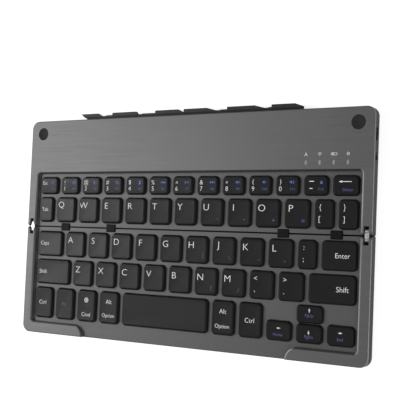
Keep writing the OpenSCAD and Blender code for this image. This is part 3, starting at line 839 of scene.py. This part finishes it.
class Sign(Enum):
    """Plain signs printed on keys and beside the indicators, by their parts."""

    HOUSE = (Stroke(((-0.5, 0), (0, 0.5), (0.5, 0)), 0.14),
             Stroke(((-0.34, 0), (-0.34, -0.5), (0.34, -0.5), (0.34, 0)), 0.14))
    RELOAD = (Bow(0, 0, 0.4, 0.14, 60), Patch(((0.4, 0.28), (0.16, 0), (0.62, 0))))
    MOON = crescent()
    LENS = (Bow(-0.1, 0.1, 0.3, 0.13), Stroke(((0.14, -0.14), (0.42, -0.42)), 0.16))
    PERSON = (Bow(0, 0.22, 0.13, 0.26), Patch(((-0.34, -0.5), (0.34, -0.5), (0.22, -0.06), (-0.22, -0.06))))
    PREVIOUS = (upright_bar(-1.1), triangle(-0.4, -1), triangle(0.6, -1))
    PLAY = (triangle(-0.7, 1), upright_bar(0.3), upright_bar(0.8))
    NEXT = (upright_bar(1.1), triangle(0.4, 1), triangle(-0.6, 1))
    MUTE = (horn(-0.15), Stroke(((0.08, 0.2), (0.48, -0.2)), 0.1), Stroke(((0.08, -0.2), (0.48, 0.2)), 0.1))
    QUIET = (horn(-0.1), Bow(-0.1, 0, 0.3, 0.1, -50, 50))
    LOUD = (horn(-0.2), Bow(-0.2, 0, 0.3, 0.1, -50, 50), Bow(-0.2, 0, 0.56, 0.1, -50, 50))
    LOCK = (Patch(((-0.3, -0.5), (0.3, -0.5), (0.3, 0.06), (-0.3, 0.06))), Bow(0, 0.1, 0.2, 0.12, 0, 180))
    LONG_ARROW = arrow(3.5, 180)
    LEFT = arrow(1.4, 180)
    RIGHT = arrow(1.4, 0)
    UP = arrow(1.4, 90)
    DOWN = arrow(1.4, -90)
    DASH = (Stroke(((-1, 0), (1, 0)), 0.35),)
    SHORT_DASH = (Stroke(((-0.65, 0), (0.65, 0)), 0.35),)
    SPOT = (Bow(0, 0, 0.4, 0.14), Bow(0, 0, 0.08, 0.16))
    WAVES = (Bow(0, -0.4, 0.05, 0.1), Bow(0, -0.4, 0.42, 0.12, 40, 140), Bow(0, -0.4, 0.8, 0.12, 45, 135))
    CELL = (Stroke(((-0.95, -0.36), (0.95, -0.36), (0.95, 0.36), (-0.95, 0.36), (-0.95, -0.36)), 0.13),
            Patch(((0.95, -0.18), (1.1875, -0.18), (1.1875, 0.18), (0.95, 0.18))),
            Patch(((-0.665, -0.162), (0, -0.162), (0, 0.162), (-0.665, 0.162))))
    POWER = (Bow(0, 0, 0.38, 0.13, -235, 55), Stroke(((0, 0.05), (0, 0.5)), 0.13))

    def draw(self, pen: Pen, x: float, y: float, size: float, ink: Ink) -> None:
        """Draw the sign centred on a point."""
        for part in self.value:
            part.draw(pen, x, y, size, ink)


@dataclass(frozen=True)
class Mark:
    """One print on a key: a word or a sign, measured from the key's rear left corner."""

    what: str | Sign
    right: float
    down: float
    size: float
    ink: Ink = Ink.WHITE
    narrow: float = 1.0

    def draw(self, pen: Pen, x: float, y: float) -> None:
        """Draw it on a key whose rear left corner is at a point."""
        if isinstance(self.what, Sign):
            self.what.draw(pen, x + self.right, y - self.down, self.size, self.ink)
        else:
            pen.word(self.what, x + self.right, y - self.down, self.size, self.ink, self.narrow)


def second(what: str | Sign, right: float = 12.0, down: float = 12.0, size: float = 2.5) -> Mark:
    """Violet second print near a key's front right corner."""
    return Mark(what, right, down, size, Ink.VIOLET)


@dataclass(frozen=True)
class Key:
    """One key cap: its outline from the fold line and what is printed on it."""

    x0: float
    x1: float
    y0: float
    y1: float
    marks: tuple[Mark, ...] = ()


@dataclass(frozen=True)
class KeyRow:
    """One row of keys, laid out from the left in key units; the last key fills what is left."""

    widths: tuple[float, ...]
    y0: float
    y1: float
    left: ClassVar[float] = -109.6
    pitch: ClassVar[float] = 18.0
    apart: ClassVar[float] = 2.8
    units: ClassVar[float] = 37 / 3

    def key(self, index: int, *marks: Mark) -> Key:
        """One key of the row with its print.

        Args:
            index: Which key, from the left.
            *marks: What is printed on it.

        Returns:
            The key.
        """
        before = sum(self.widths[:index])
        width = self.widths[index] if index < len(self.widths) else self.units - before
        x0 = self.left + before * self.pitch
        return Key(x0, x0 + width * self.pitch - self.apart, self.y0, self.y1, marks)


@dataclass
class KeyField:
    """All sixty caps, node by node."""

    row_1: KeyRow = KeyRow((0.967, *([17 / 18] * 11)), 21.1, 32.1)
    row_2: KeyRow = KeyRow((0.794, *([1.0] * 10), 0.772), 3.1, 19.1)
    row_3: KeyRow = KeyRow((1.289, *([1.0] * 9), 0.772), -19.1, -3.1)
    row_4: KeyRow = KeyRow((1.678, *([1.0] * 9)), -37.1, -21.1)
    row_5: KeyRow = KeyRow((0.964, 0.964, 0.964, 0.964, 3.511, 0.974, 0.967, 1.006, 1.006), -59.0, -39.3)
    nodes: dict[str, list[Key]] = field(default_factory=dict)
    letter_right: ClassVar[float] = 4.55
    letter_cap: ClassVar[float] = 3.8
    letter_wide: ClassVar[float] = 1.12
    split_lift: ClassVar[float] = 0.65
    split_half: ClassVar[float] = 0.2
    side_over: ClassVar[float] = 0.4
    rear_over: ClassVar[float] = 0.9

    def lay_out(self) -> None:
        """Fill the table of nodes."""
        self._number_row()
        self._letter_rows()
        self._bottom_row()

    def _number_row(self) -> None:
        """Number row, tab and brackets."""
        row = self.row_1
        signs = (Sign.RELOAD, Sign.MOON, Sign.LENS, Sign.PERSON, Sign.PREVIOUS, Sign.PLAY, Sign.NEXT,
                 Sign.MUTE, Sign.QUIET, Sign.LOUD)
        wide = (Sign.PREVIOUS, Sign.PLAY, Sign.NEXT)
        function = [Mark(f"F{i + 1}", 10.8, 7.6, 1.4, Ink.VIOLET) for i in range(12)]
        small = [row.key(0, Mark("Esc", 4.6, 3.9, 2.1), Mark(Sign.HOUSE, 10.9, 3.7, 1.9, Ink.BLUE),
                         function[0])]
        for i, (upper, digit, sign) in enumerate(zip("!@#$%^&*()", "1234567890", signs), start=1):
            small.append(row.key(i, Mark(upper, 3.5, 3.7, 2.6), Mark(digit, 3.5, 7.4, 2.6),
                                 Mark(sign, 10.8, 3.7, 1.35 if sign in wide else 2.3, Ink.BLUE), function[i]))
        small.append(row.key(11, Mark(Sign.DASH, 5.2, 3.3, 1.15), Mark(Sign.SHORT_DASH, 4.9, 7.2, 1.15),
                             Mark(Sign.LOCK, 10.9, 3.7, 2.0, Ink.BLUE), function[11]))
        small += [self.row_2.key(0, Mark("Tab", 5.4, 8.0, 2.3)),
                  self.row_2.key(11, Mark("{", 3.9, 4.6, 2.8), Mark("[", 3.6, 11.0, 2.8)),
                  self.row_2.key(12, Mark("}", 3.9, 4.6, 2.8), Mark("]", 3.7, 11.0, 2.8))]
        self.nodes["keys_small_upper"] = small
        self.nodes["key_backspace"] = [row.key(12, Mark(Sign.LONG_ARROW, 7.4, 3.5, 2.0),
                                               Mark("Delete", 9.2, 7.9, 1.5, Ink.VIOLET))]

    def _letters(self, names: str, row: KeyRow, down: float, extra: dict[str, Mark]) -> None:
        """The letter keys of one row, which start at its second key.

        Args:
            names: The letters in order.
            row: The row.
            down: Distance of the letters from the keys' rear edges.
            extra: Second prints by letter.
        """
        for i, name in enumerate(names, start=1):
            more = (extra[name],) if name in extra else ()
            letter = Mark(name, self.letter_right, down, self.letter_cap, narrow=self.letter_wide)
            self.nodes["key_" + name.lower()] = [row.key(i, letter, *more)]

    def _letter_rows(self) -> None:
        """The three letter rows with their side keys."""
        self._letters("QWERTYUIOP", self.row_2, 5.2, {
            "U": second("'", 12.5), "I": second("-", 11.6, 12.0, 3.4), "O": second("+", 12.1),
            "P": second("=", size=3.0)})
        self._letters("ASDFGHJKL", self.row_3, 5.2, {
            "H": second("|", 12.7, 11.2), "J": second("\\", 12.1, 11.9), "K": second("'", 12.7, 12.2),
            "L": second("\"", 11.0, 12.3)})
        self._letters("ZXCVBNM", self.row_4, 5.6, {
            "N": second("?", 11.9, 11.7), "M": second("/", 11.8, 11.7)})
        row = self.row_4
        self.nodes["keys_marks_lower"] = [
            self.row_3.key(0, Mark("Caps", 6.6, 8.0, 2.4)),
            self.row_3.key(10, Mark(":", 4.2, 4.5, 3.0), Mark(";", 4.1, 11.2, 3.0)),
            row.key(8, Mark("<", 4.5, 4.4, 2.9), Mark(",", 4.1, 12.0, 3.2)),
            row.key(9, Mark(">", 4.5, 4.4, 2.9), Mark(".", 4.1, 12.0, 3.2))]
        self.nodes["key_enter"] = [self.row_3.key(11, Mark("Enter", 12.8, 8.0, 2.7))]
        self.nodes["key_shift_left"] = [row.key(0, Mark("Shift", 6.4, 8.0, 2.5))]
        self.nodes["key_shift_right"] = [row.key(10, Mark("Shift", 20.2, 7.9, 2.8))]

    def _bottom_row(self) -> None:
        """Modifiers, space and arrows."""
        row = self.row_5
        alt = (Mark("Alt", 8.0, 6.2, 2.6), Mark("Option", 7.8, 15.0, 2.25))
        self.nodes["keys_modifiers"] = [
            row.key(0, Mark("Ctrl", 7.2, 9.6, 2.5)), row.key(1, Mark("Fn", 7.3, 9.8, 2.3, Ink.VIOLET)),
            row.key(2, Mark(Sign.SPOT, 7.9, 6.2, 3.2), Mark("Cmd", 7.9, 15.2, 2.4)), row.key(3, *alt),
            row.key(5, *alt), row.key(6, Mark("Ctrl", 7.7, 10.0, 2.6))]
        self.nodes["key_space"] = [row.key(4)]
        split = (row.y0 + row.y1) / 2 + self.split_lift
        side = replace(row, y1=split + self.side_over)
        front = replace(row, y1=split - self.split_half)
        rear = replace(row, y0=split + self.split_half, y1=row.y1 + self.rear_over)
        self.nodes["keys_arrows"] = [
            side.key(7, Mark(Sign.LEFT, 8.2, 4.0, 1.6), Mark("Home", 8.1, 7.5, 1.6, Ink.VIOLET)),
            front.key(8, Mark(Sign.DOWN, 8.2, 4.6, 1.6), Mark("PgDn", 8.3, 7.0, 1.6, Ink.VIOLET)),
            rear.key(8, Mark(Sign.UP, 8.2, 2.7, 1.6), Mark("PgUp", 8.2, 5.8, 1.6, Ink.VIOLET)),
            side.key(9, Mark(Sign.RIGHT, 8.3, 3.8, 1.6), Mark("End", 8.2, 7.2, 1.6, Ink.VIOLET))]


@dataclass
class KeyCaps:
    """Round-shouldered hollow caps and their print, one piece of each for every key body."""

    base_z: float = 3.9
    skirt_z: float = 4.7
    brow_z: float = 6.15
    top_z: float = 6.5
    corner: float = 2.4
    least_corner: float = 0.6
    corner_steps: int = 6
    slope: float = 0.54
    shoulder: float = 0.9
    wall: float = 1.1
    roof: float = 0.9
    foot: float = 0.08
    dish: float = 0.06
    plunger_r: float = 1.5
    plunger_z: float = 3.66
    plunger_steps: int = 20
    print_left: float = 0.3
    smooth: float = 50.0

    def _profile(self) -> list[Point2]:
        """Insets and heights of a cap's rings: its hollow down from the roof, its outside, its dish."""
        top, slope, brow = self.top_z, self.slope, self.brow_z
        hollow = [(self.wall, top - self.roof), (self.wall, self.base_z)]
        skirt = [(self.foot, self.base_z), (0.0, self.base_z + self.foot), (0.0, self.skirt_z),
                 (0.03, self.skirt_z + 0.12)]
        edge = [(slope - 0.05, brow - 0.1), (slope + 0.03, brow + 0.06), (slope + 0.16, brow + 0.2)]
        crown = [(self.shoulder + inset, top - drop) for inset, drop in
                 ((-0.02, 0.03), (0.12, 0.0), (0.5, self.dish / 4), (1.2, self.dish))]
        return hollow + skirt + edge + crown

    def _cap(self, builder: Builder, key: Key) -> None:
        """Loft one cap and turn the plunger under it.

        Args:
            builder: Mesh that takes it.
            key: The key.
        """
        builder.block((key.x0, key.x1, key.y0, key.y1), self.corner, self.least_corner, self._profile(),
                      self.corner_steps)
        r, z0, z1 = self.plunger_r, self.plunger_z, self.top_z - self.roof / 2
        builder.turned([(0, z0), (r, z0), (r, z1), (0, z1)],
                       Vector(((key.x0 + key.x1) / 2, (key.y0 + key.y1) / 2, 0)), self.plunger_steps)

    def _print(self, node: str, members: Iterable[Key]) -> None:
        """Print the marks of one node's keys."""
        sheet = Builder(node + "_print")
        pen = Pen(sheet, self.top_z - self.dish, self.dish / 2)
        for key in members:
            for mark in key.marks:
                mark.draw(pen, key.x0 - self.print_left, key.y1)
        sheet.finish(["print_white", "print_violet", "print_blue"], node, "key_cap")

    def build(self, keys: KeyField) -> None:
        """Make every cap and its print.

        Args:
            keys: The laid out keys.
        """
        for node, members in keys.nodes.items():
            caps = Builder(node + "_caps")
            for key in members:
                self._cap(caps, key)
            caps.finish(["key_charcoal"], node, "key_cap", [node], self.smooth)
            if any(key.marks for key in members):
                self._print(node, members)


# --------------------------------------------------------------------------------------------------
# Geometry Nodes


class NodeRecipe(NodeBench):
    """A Geometry Nodes tree with named inputs, built in the script and baked to a mesh."""

    kinds: ClassVar[dict[type, str]] = {int: "NodeSocketInt", float: "NodeSocketFloat",
                                        tuple: "NodeSocketVector"}

    def __init__(self, name: str, inputs: dict[str, float | int | Point3]) -> None:
        """Open the tree, with a geometry input and one socket for each named size.

        Args:
            name: Name of the tree.
            inputs: Named sizes.
        """
        super().__init__(bpy.data.node_groups.new(name, "GeometryNodeTree"))
        self.inputs = inputs
        self._socket("Geometry", "NodeSocketGeometry")
        self.sockets = {key: self._socket(key, self.kinds[type(value)]) for key, value in inputs.items()}
        self.sockets["Finish"] = self._socket("Finish", "NodeSocketMaterial")
        self._socket("Geometry", "NodeSocketGeometry", "OUTPUT")
        self.entry = self.node("NodeGroupInput").outputs

    def _socket(self, name: str, kind: str, way: str = "INPUT") -> str:
        """Add a socket to the tree's face and give its identifier."""
        return self.tree.interface.new_socket(name, in_out=way, socket_type=kind).identifier

    def joined(self, *parts: bpy.types.NodeSocket) -> bpy.types.NodeSocket:
        """Geometry of several parts together."""
        made = self.node("GeometryNodeJoinGeometry")
        for part in parts:
            self.feed(made.inputs["Geometry"], part)
        return made.outputs["Geometry"]

    def moved(self, part: bpy.types.NodeSocket, **values: object) -> bpy.types.NodeSocket:
        """Geometry of a part after a move or a turn."""
        return self.node("GeometryNodeTransform", Geometry=part, **values).outputs["Geometry"]

    def close(self, part: bpy.types.NodeSocket) -> None:
        """Set a part on every host point and end the tree in Realize Instances and Set Material.

        Args:
            part: The geometry to repeat.
        """
        points = self.node("GeometryNodeMeshToPoints", Mesh=self.entry["Geometry"]).outputs["Points"]
        spread = self.node("GeometryNodeInstanceOnPoints", Points=points, Instance=part)
        real = self.node("GeometryNodeRealizeInstances", Geometry=spread.outputs["Instances"])
        paint = self.node("GeometryNodeSetMaterial", Geometry=real.outputs["Geometry"],
                          Material=self.entry["Finish"])
        self.node("NodeGroupOutput", Geometry=paint.outputs["Geometry"])

    def bake(self, name: str, points: Sequence[Point3], finish: str) -> bpy.types.Object:
        """Run the tree on points and keep the result as a plain mesh.

        Args:
            name: Name of the piece.
            points: Places in millimetres from the fold line.
            finish: Name of its material.

        Returns:
            The object, with no modifier left on it.
        """
        host = bpy.data.meshes.new(name)
        host.from_pydata([(x * MM, (y + FOLD_Y) * MM, z * MM) for x, y, z in points], [], [])
        piece = add_object(name, host)
        modifier = piece.modifiers.new(self.tree.name, "NODES")
        modifier.node_group = self.tree
        for key, value in self.inputs.items():
            modifier[self.sockets[key]] = value
        modifier[self.sockets["Finish"]] = PALETTE[finish]
        bake(piece)
        shade(piece.data, SMOOTH_ANGLE)
        return piece


@dataclass
class ScrewHeads:
    """Case screws with a cross recess, set from below."""

    radius: float = 1.4
    depth: float = 0.6
    shank_r: float = 0.8
    shank: float = 4.0
    overlap: float = 0.02
    slot: Point3 = (1.7, 0.36, 0.5)
    sink: float = 0.5
    upper: tuple[Point2, ...] = ((-113.6, 62.5), (113.6, 37.3), (-113.6, 12), (113.6, 12))
    lower: tuple[Point2, ...] = ((-113.6, -63.5), (113.6, -63.5), (-113.6, -12), (113.6, -12))

    def build(self) -> None:
        """Make the screws of both halves."""
        recipe = NodeRecipe("screw_heads", {
            "Head Radius": self.radius * MM, "Head Depth": self.depth * MM,
            "Shank Radius": self.shank_r * MM, "Shank Length": self.shank * MM,
            "Slot": tuple(v * MM for v in self.slot)})
        entry = recipe.entry
        disc = recipe.node("GeometryNodeMeshCylinder", Vertices=28, Radius=entry["Head Radius"],
                           Depth=entry["Head Depth"])
        lift = recipe.node("ShaderNodeCombineXYZ", Z=recipe.sums("MULTIPLY", entry["Head Depth"], 0.5))
        head = recipe.moved(disc.outputs["Mesh"], Translation=lift.outputs[0])
        cube = recipe.node("GeometryNodeMeshCube", Size=entry["Slot"]).outputs["Mesh"]
        cross = recipe.joined(*(recipe.moved(cube, Rotation=(0, 0, turn)) for turn in (0.0, math.pi / 2)))
        cut = recipe.node("GeometryNodeMeshBoolean", head, cross, operation="DIFFERENCE")
        rod = recipe.node("GeometryNodeMeshCylinder", Vertices=20, Radius=entry["Shank Radius"],
                          Depth=entry["Shank Length"])
        lifted = (self.depth + self.shank / 2 - self.overlap) * MM
        shank = recipe.moved(rod.outputs["Mesh"], Translation=(0, 0, lifted))
        recipe.close(recipe.joined(cut.outputs[0], shank))
        for name, places, body in (("upper", self.upper, Half.UPPER), ("lower", self.lower, Half.LOWER)):
            piece = recipe.bake(name + "_screw_heads", [(x, y, self.sink) for x, y in places], "screw_dark")
            settle(piece, body, [name + "_screws"])


@dataclass(frozen=True)
class RibRow:
    """A row of fine ribs from each host point, in millimetres."""

    name: str
    size: Point3
    step: Point3
    count: int

    def recipe(self) -> NodeRecipe:
        """Build the tree."""
        recipe = NodeRecipe(self.name, {"Rib Size": tuple(v * MM for v in self.size),
                                        "Step": tuple(v * MM for v in self.step), "Count": self.count})
        row = recipe.node("GeometryNodeMeshLine", Count=recipe.entry["Count"], Offset=recipe.entry["Step"])
        rib = recipe.node("GeometryNodeMeshCube", Size=recipe.entry["Rib Size"])
        placed = recipe.node("GeometryNodeInstanceOnPoints", Points=row.outputs["Mesh"],
                             Instance=rib.outputs["Mesh"])
        recipe.close(placed.outputs["Instances"])
        return recipe


@dataclass
class RibRows:
    """Fine ribs on the stand leaf's finger edge and on the feet."""

    leaf: RibRow = RibRow("leaf_ribs", (16.0, 0.35, 0.22), (0, 0.9, 0), 5)
    foot: RibRow = RibRow("foot_ribs", (0.7, 2.9, 0.18), (1.4, 0, 0), 11)
    leaf_hosts: tuple[Point3, ...] = ((-22, 39.9, 0.46), (22, 39.9, 0.46))
    foot_lead: float = 7.0
    foot_z: float = 0.09

    def build(self) -> None:
        """Make every row of ribs."""
        piece = self.leaf.recipe().bake("leaf_grip_ribs", self.leaf_hosts, "leaf_plastic")
        settle(piece, Half.STAND)
        foot = self.foot.recipe()
        for name, body, ys in FEET_ROWS:
            hosts = [(x - self.foot_lead, y, self.foot_z) for x in (-FEET_X, FEET_X) for y in ys]
            settle(foot.bake(name + "_foot_ribs", hosts, "foot_rubber"), body)


# --------------------------------------------------------------------------------------------------
# Sub-assemblies


@dataclass
class Cases:
    """The four case shells with fine edges, painted highlight and painted shade on their edges, and painted
    shade on the decks.
    """

    edge: float = 0.1
    rim_z: float = 7.0
    deck_z: float = 4.5
    chamfer: float = 0.62
    pocket_x: float = 113.4
    outer_x: float = 115.0
    walls: Point2 = (-62.0, 35.0)
    wall_band: float = 2.0
    # Limits on a face's normal: upward part of a chamfer, sideways part, end of a round corner,
    # part across a pocket wall, upward part of a deck.
    steep: float = 0.2
    flat: float = 0.97
    aside: float = 0.25
    corner: float = 0.95
    facing: float = 0.5
    level: float = 0.98
    deck_slack: float = 0.06
    painted_light_finishes: tuple[str, ...] = ("edge_lit", "edge_soft_highlight", "edge_shade", "gunmetal_deck_shade")

    def _painted_light_finish(self, face: bpy.types.MeshPolygon) -> str:
        """Painted highlight or painted shade for a top case's face, or an empty name where the case's own
        finish stays.

        Args:
            face: A face.

        Returns:
            Name of the finish.
        """
        x, y, z = (v / MM for v in face.center)
        nx, ny, nz = face.normal
        sloped = z > self.rim_z - self.chamfer and self.steep < nz < self.flat and abs(x) < self.pocket_x
        at_wall = min(abs(y - FOLD_Y - wall) for wall in self.walls) < self.wall_band
        # painted highlight on the outer bevel of the right side, which faces the lamps on that side
        if x > self.outer_x and nx > self.aside and self.aside < nz < self.flat:
            return "edge_lit"
        # painted highlight on the pocket chamfer that faces the left lamp
        if sloped and nx < -self.aside and abs(ny) < self.corner:
            return "edge_soft_highlight"
        # painted shade on the chamfers of the front and rear pocket walls
        if sloped and at_wall and abs(ny) > self.facing:
            return "edge_shade"
        # painted shade on the deck faces between the keys
        return "gunmetal_deck_shade" if abs(z - self.deck_z) < self.deck_slack and nz > self.level else ""

    def build(self) -> None:
        """Dress the shells and paint highlight and shade on their edges and pocket walls, and shade on the
        decks.
        """
        for half in ("upper", "lower"):
            top = Refined(half + "_top_case", "gunmetal_satin", "case_top", self.edge,
                          spacing=RowSpacing()).build()
            for name in self.painted_light_finishes:
                top.data.materials.append(PALETTE[name])
            for face in top.data.polygons:
                name = self._painted_light_finish(face)
                if name:
                    face.material_index = 1 + self.painted_light_finishes.index(name)
            Refined(half + "_bottom_case", "underside_shell", "case_underside", self.edge).build()


@dataclass
class PanelDetails:
    """Round pads, indicator lenses and the signs beside them, on the rear panel."""

    pad_x: float = 108.6
    pad_y: float = 60.3
    pad_profile: tuple[Point2, ...] = ((0.0, 0.5), (4.05, 0.5), (4.05, 0.02), (3.97, 0.0), (3.25, 0.0),
                                       (3.05, 0.12), (0.0, 0.12))
    pad_steps: int = 56
    panel_z: float = 7.0
    led_x: tuple[float, ...] = (79.0, 87.1, 95.3, 103.4)
    led_y: float = 39.0
    led_half: Point2 = (0.7, 1.3)
    led_corner: float = 0.3
    led_least: float = 0.25
    led_rings: tuple[Point2, ...] = ((0.0, 1.2), (0.0, 0.12), (0.1, 0.05))
    led_steps: int = 4
    sign_y: float = 43.5
    sign_lift: float = 0.003
    letter_size: float = 2.0
    signs: tuple[tuple[Sign, float], ...] = ((Sign.WAVES, 1.9), (Sign.CELL, 1.7), (Sign.POWER, 1.9))

    def _pads(self) -> None:
        """Round rubber pads with a raised rim round a dish."""
        pads = Builder("corner_pads_round")
        profile = [(r, self.panel_z - drop) for r, drop in self.pad_profile]
        for side in (-1, 1):
            pads.turned(profile, Vector((side * self.pad_x, self.pad_y, 0)), self.pad_steps)
        pads.finish(["pad_rubber"], Half.UPPER, "pad_rubber", ["corner_pads"])

    def _lenses(self) -> None:
        """Frosted bars that stay just under the panel's face."""
        lenses = Builder("led_lens_bars")
        w, h = self.led_half
        rings = [(t, self.panel_z - drop) for t, drop in self.led_rings]
        for x in self.led_x:
            lenses.block((x - w, x + w, self.led_y - h, self.led_y + h), self.led_corner, self.led_least,
                         rings, self.led_steps)
        lenses.finish(["lens_frosted"], Half.UPPER, "lens", ["led_lenses"])

    def build(self) -> None:
        """Make the pads, lenses and signs."""
        self._pads()
        self._lenses()
        sheet = Builder("indicator_signs")
        pen = Pen(sheet, self.panel_z, self.sign_lift)
        pen.word("A", self.led_x[0], self.sign_y, self.letter_size, Ink.WHITE)
        for x, (sign, size) in zip(self.led_x[1:], self.signs):
            sign.draw(pen, x, self.sign_y, size, Ink.WHITE)
        sheet.finish(["print_grey"], Half.UPPER, "case_top")


@dataclass
class FoldHinge(Dressing):
    """Silver links, their pins, the black spine with its blocks, and dark tabs that paint shade into the
    mouths beside the links.
    """

    pieces: tuple[Refined, ...] = (Refined("hinge_links", "link_silver", "link_metal", 0.18, 3),
                                   Refined("hinge_spine", "spine_plastic", "spine_plastic", 0.25, 3),
                                   Refined("upper_hinge_pins", "pin_steel", "pin_steel", 0.08),
                                   Refined("lower_hinge_pins", "pin_steel", "pin_steel", 0.08))
    shade_tabs_x: tuple[Point2, ...] = ((113.2, 111.5), (115.9, 117.7))
    shade_tab_wide: float = 1.15
    shade_tab_slim: float = 0.1
    shade_tab_z: Point2 = (1.33, 2.28)

    def build(self) -> None:
        """Put dark tabs into the mouths beside the links as painted shade, and dress the hinge pieces."""
        # painted shade: dark tabs block the view through the mouths beside the links, so they read as shade
        tabs = Builder("mouth_shade_tabs")
        wide, slim = self.shade_tab_wide, self.shade_tab_slim
        for side in (-1, 1):
            for x0, x1 in self.shade_tabs_x:
                tabs.prism([(side * x0, -wide), (side * x1, -slim), (side * x1, slim), (side * x0, wide)],
                           *self.shade_tab_z)
        tabs.finish(["spine_plastic"], Half.LINK, "spine_plastic")
        super().build()


@dataclass
class StandAssembly(Dressing):
    """Comb, leaf and rod of the stand."""

    pieces: tuple[Refined, ...] = (Refined("stand_hinge_comb", "comb_plastic", "black_plastic", 0.25, 3),
                                   Refined("stand_leaf", "leaf_plastic", "stand_plastic", 0.2, 3),
                                   Refined("stand_rod", "pin_steel", "steel", 0.1))


@dataclass
class SidePorts(Dressing):
    """Charge socket and power switch on the right side."""

    pieces: tuple[Refined, ...] = (Refined("charge_socket", "socket_nickel", "socket_metal", 0.06),
                                   Refined("switch_knob", "comb_plastic", "black_plastic", 0.12, 3))


@dataclass
class InnerParts:
    """Parts inside the cases, and the feet."""

    inner: tuple[tuple[str, str], ...] = (
        ("upper_key_plate", "plate_steel"), ("lower_key_plate", "plate_steel"),
        ("upper_dome_sheet", "dome_silicone"), ("lower_dome_sheet", "dome_silicone"),
        ("battery", "cell_foil"), ("main_board", "board_mask"))
    foot_half: Point2 = (9.0, 2.0)
    foot_corner: float = 1.9
    foot_rings: tuple[Point2, ...] = ((0.2, 0.13), (0.06, 0.17), (0.0, 0.25), (0.0, 0.5))
    foot_steps: int = 8

    def build(self) -> None:
        """Dress the inner nodes and the feet."""
        for node, finish in self.inner:
            for slot in frame["nodes"][node].material_slots:
                slot.material = PALETTE[finish]
        w, h = self.foot_half
        for name, body, ys in FEET_ROWS:
            pads = Builder(name + "_feet_pads")
            for x in (-FEET_X, FEET_X):
                for y in ys:
                    pads.block((x - w, x + w, y - h, y + h), self.foot_corner, 0.0, self.foot_rings,
                               self.foot_steps)
            pads.finish(["foot_rubber"], body, "foot_rubber", [name + "_feet"])


# --------------------------------------------------------------------------------------------------
# Studio


@dataclass(frozen=True)
class Lamp:
    """A square area lamp: its place and side in metres, and its power in watts."""

    name: str
    place: Point3
    size: float
    power: float
    aim: Point3 = (0.0, 0.0, 0.0)

    def hang(self) -> None:
        """Add the lamp, turned to the point that it faces."""
        data = bpy.data.lights.new(self.name, "AREA")
        data.size = self.size
        data.energy = self.power
        item = add_object(self.name, data)
        item.location = self.place
        item.rotation_euler = (Vector(self.aim) - Vector(self.place)).to_track_quat("-Z", "Y").to_euler()


@dataclass
class Studio:
    """Camera, lights, floor and world."""

    lens_px: float = 862.563
    image_px: float = 416.0
    sensor: float = 36.0
    eye: Point3 = (269.79, -9.61 + FOLD_Y, 432.52 + 6.5)
    axes: tuple[Point3, ...] = ((0.864617, 0.041278, -0.500733), (0.012631, -0.99809, -0.060467),
                                (-0.502273, 0.045956, -0.863487))
    lamps: tuple[Lamp, ...] = (Lamp("key_lamp", (-0.85, 0.1, 0.75), 0.8, 6.9),
                               Lamp("rake_lamp", (-0.98, 0.03, 0.98), 0.2, 1.7, (-0.1, 0, 0)),
                               Lamp("fill_lamp", (1.0, -0.25, 0.75), 0.9, 6.0),
                               Lamp("front_lamp", (0.5, -1.0, 0.5), 0.6, 1.6))
    sky_light: float = 0.24
    floor_half: float = 6.0
    floor_z: float = -0.00005
    floor_tone: float = 0.62
    floor_glow: float = 0.7

    def camera(self) -> None:
        """Place the camera at the photograph's angle."""
        data = bpy.data.cameras.new("camera")
        data.sensor_width = self.sensor
        data.lens = self.lens_px / self.image_px * self.sensor
        data.clip_start = 0.01
        data.clip_end = 20.0
        item = add_object("camera", data)
        x, y, z = (Vector(a).normalized() for a in self.axes)
        turn = Matrix((x, -y, -z)).transposed()
        item.matrix_world = Matrix.Translation(Vector(self.eye) * MM) @ turn.to_4x4()
        bpy.context.scene.camera = item

    def world(self) -> None:
        """Pale world light that shows white to the camera."""
        world = bpy.data.worlds.new("studio")
        bpy.context.scene.world = world
        world.use_nodes = True
        bench = NodeBench(world.node_tree)
        bench.tree.nodes.clear()
        seen = bench.node("ShaderNodeLightPath").outputs["Is Camera Ray"]
        sky, white = (bench.node("ShaderNodeBackground", Color=WHITE, Strength=strength).outputs[0]
                      for strength in (self.sky_light, 1.0))
        mix = bench.node("ShaderNodeMixShader", seen, sky, white)
        bench.node("ShaderNodeOutputWorld", Surface=mix.outputs[0])

    def floor(self) -> None:
        """Plain pale floor that keeps the object's shadow."""
        bm = bmesh.new()
        bmesh.ops.create_grid(bm, x_segments=1, y_segments=1, size=self.floor_half)
        mesh = bpy.data.meshes.new("floor")
        bm.to_mesh(mesh)
        bm.free()
        sheet = NodeSheet("floor_pale")
        sheet.tune(Base_Color=(*grey(self.floor_tone), 1), Roughness=0.9, Specular_IOR_Level=0.1)
        seen = sheet.node("ShaderNodeLightPath").outputs["Is Camera Ray"]
        black, glow = (sheet.node("ShaderNodeEmission", Strength=strength).outputs[0]
                       for strength in (0.0, self.floor_glow))
        gate = sheet.node("ShaderNodeMixShader", seen, black, glow)
        total = sheet.node("ShaderNodeAddShader", sheet.shader.outputs[0], gate.outputs[0])
        sheet.feed(sheet.output.inputs["Surface"], total.outputs[0])
        mesh.materials.append(sheet.material)
        item = add_object("floor", mesh)
        item.location.z = self.floor_z

    def build(self) -> None:
        """Set up the whole studio."""
        self.camera()
        for lamp in self.lamps:
            lamp.hang()
        self.world()
        self.floor()
        bpy.context.scene.view_settings.view_transform = "Standard"


def main() -> None:
    """Build the dressed keyboard piece by piece."""
    logging.basicConfig(level=logging.INFO, format="%(name)s %(message)s")
    PALETTE.build()
    Studio().build()
    keys = KeyField()
    keys.lay_out()
    KeyCaps().build(keys)
    for assembly in (Cases(), PanelDetails(), FoldHinge(), StandAssembly(), SidePorts(), InnerParts(),
                     ScrewHeads(), RibRows()):
        LOG.info("building %s", type(assembly).__name__)
        assembly.build()


if __name__ == "__main__":
    main()
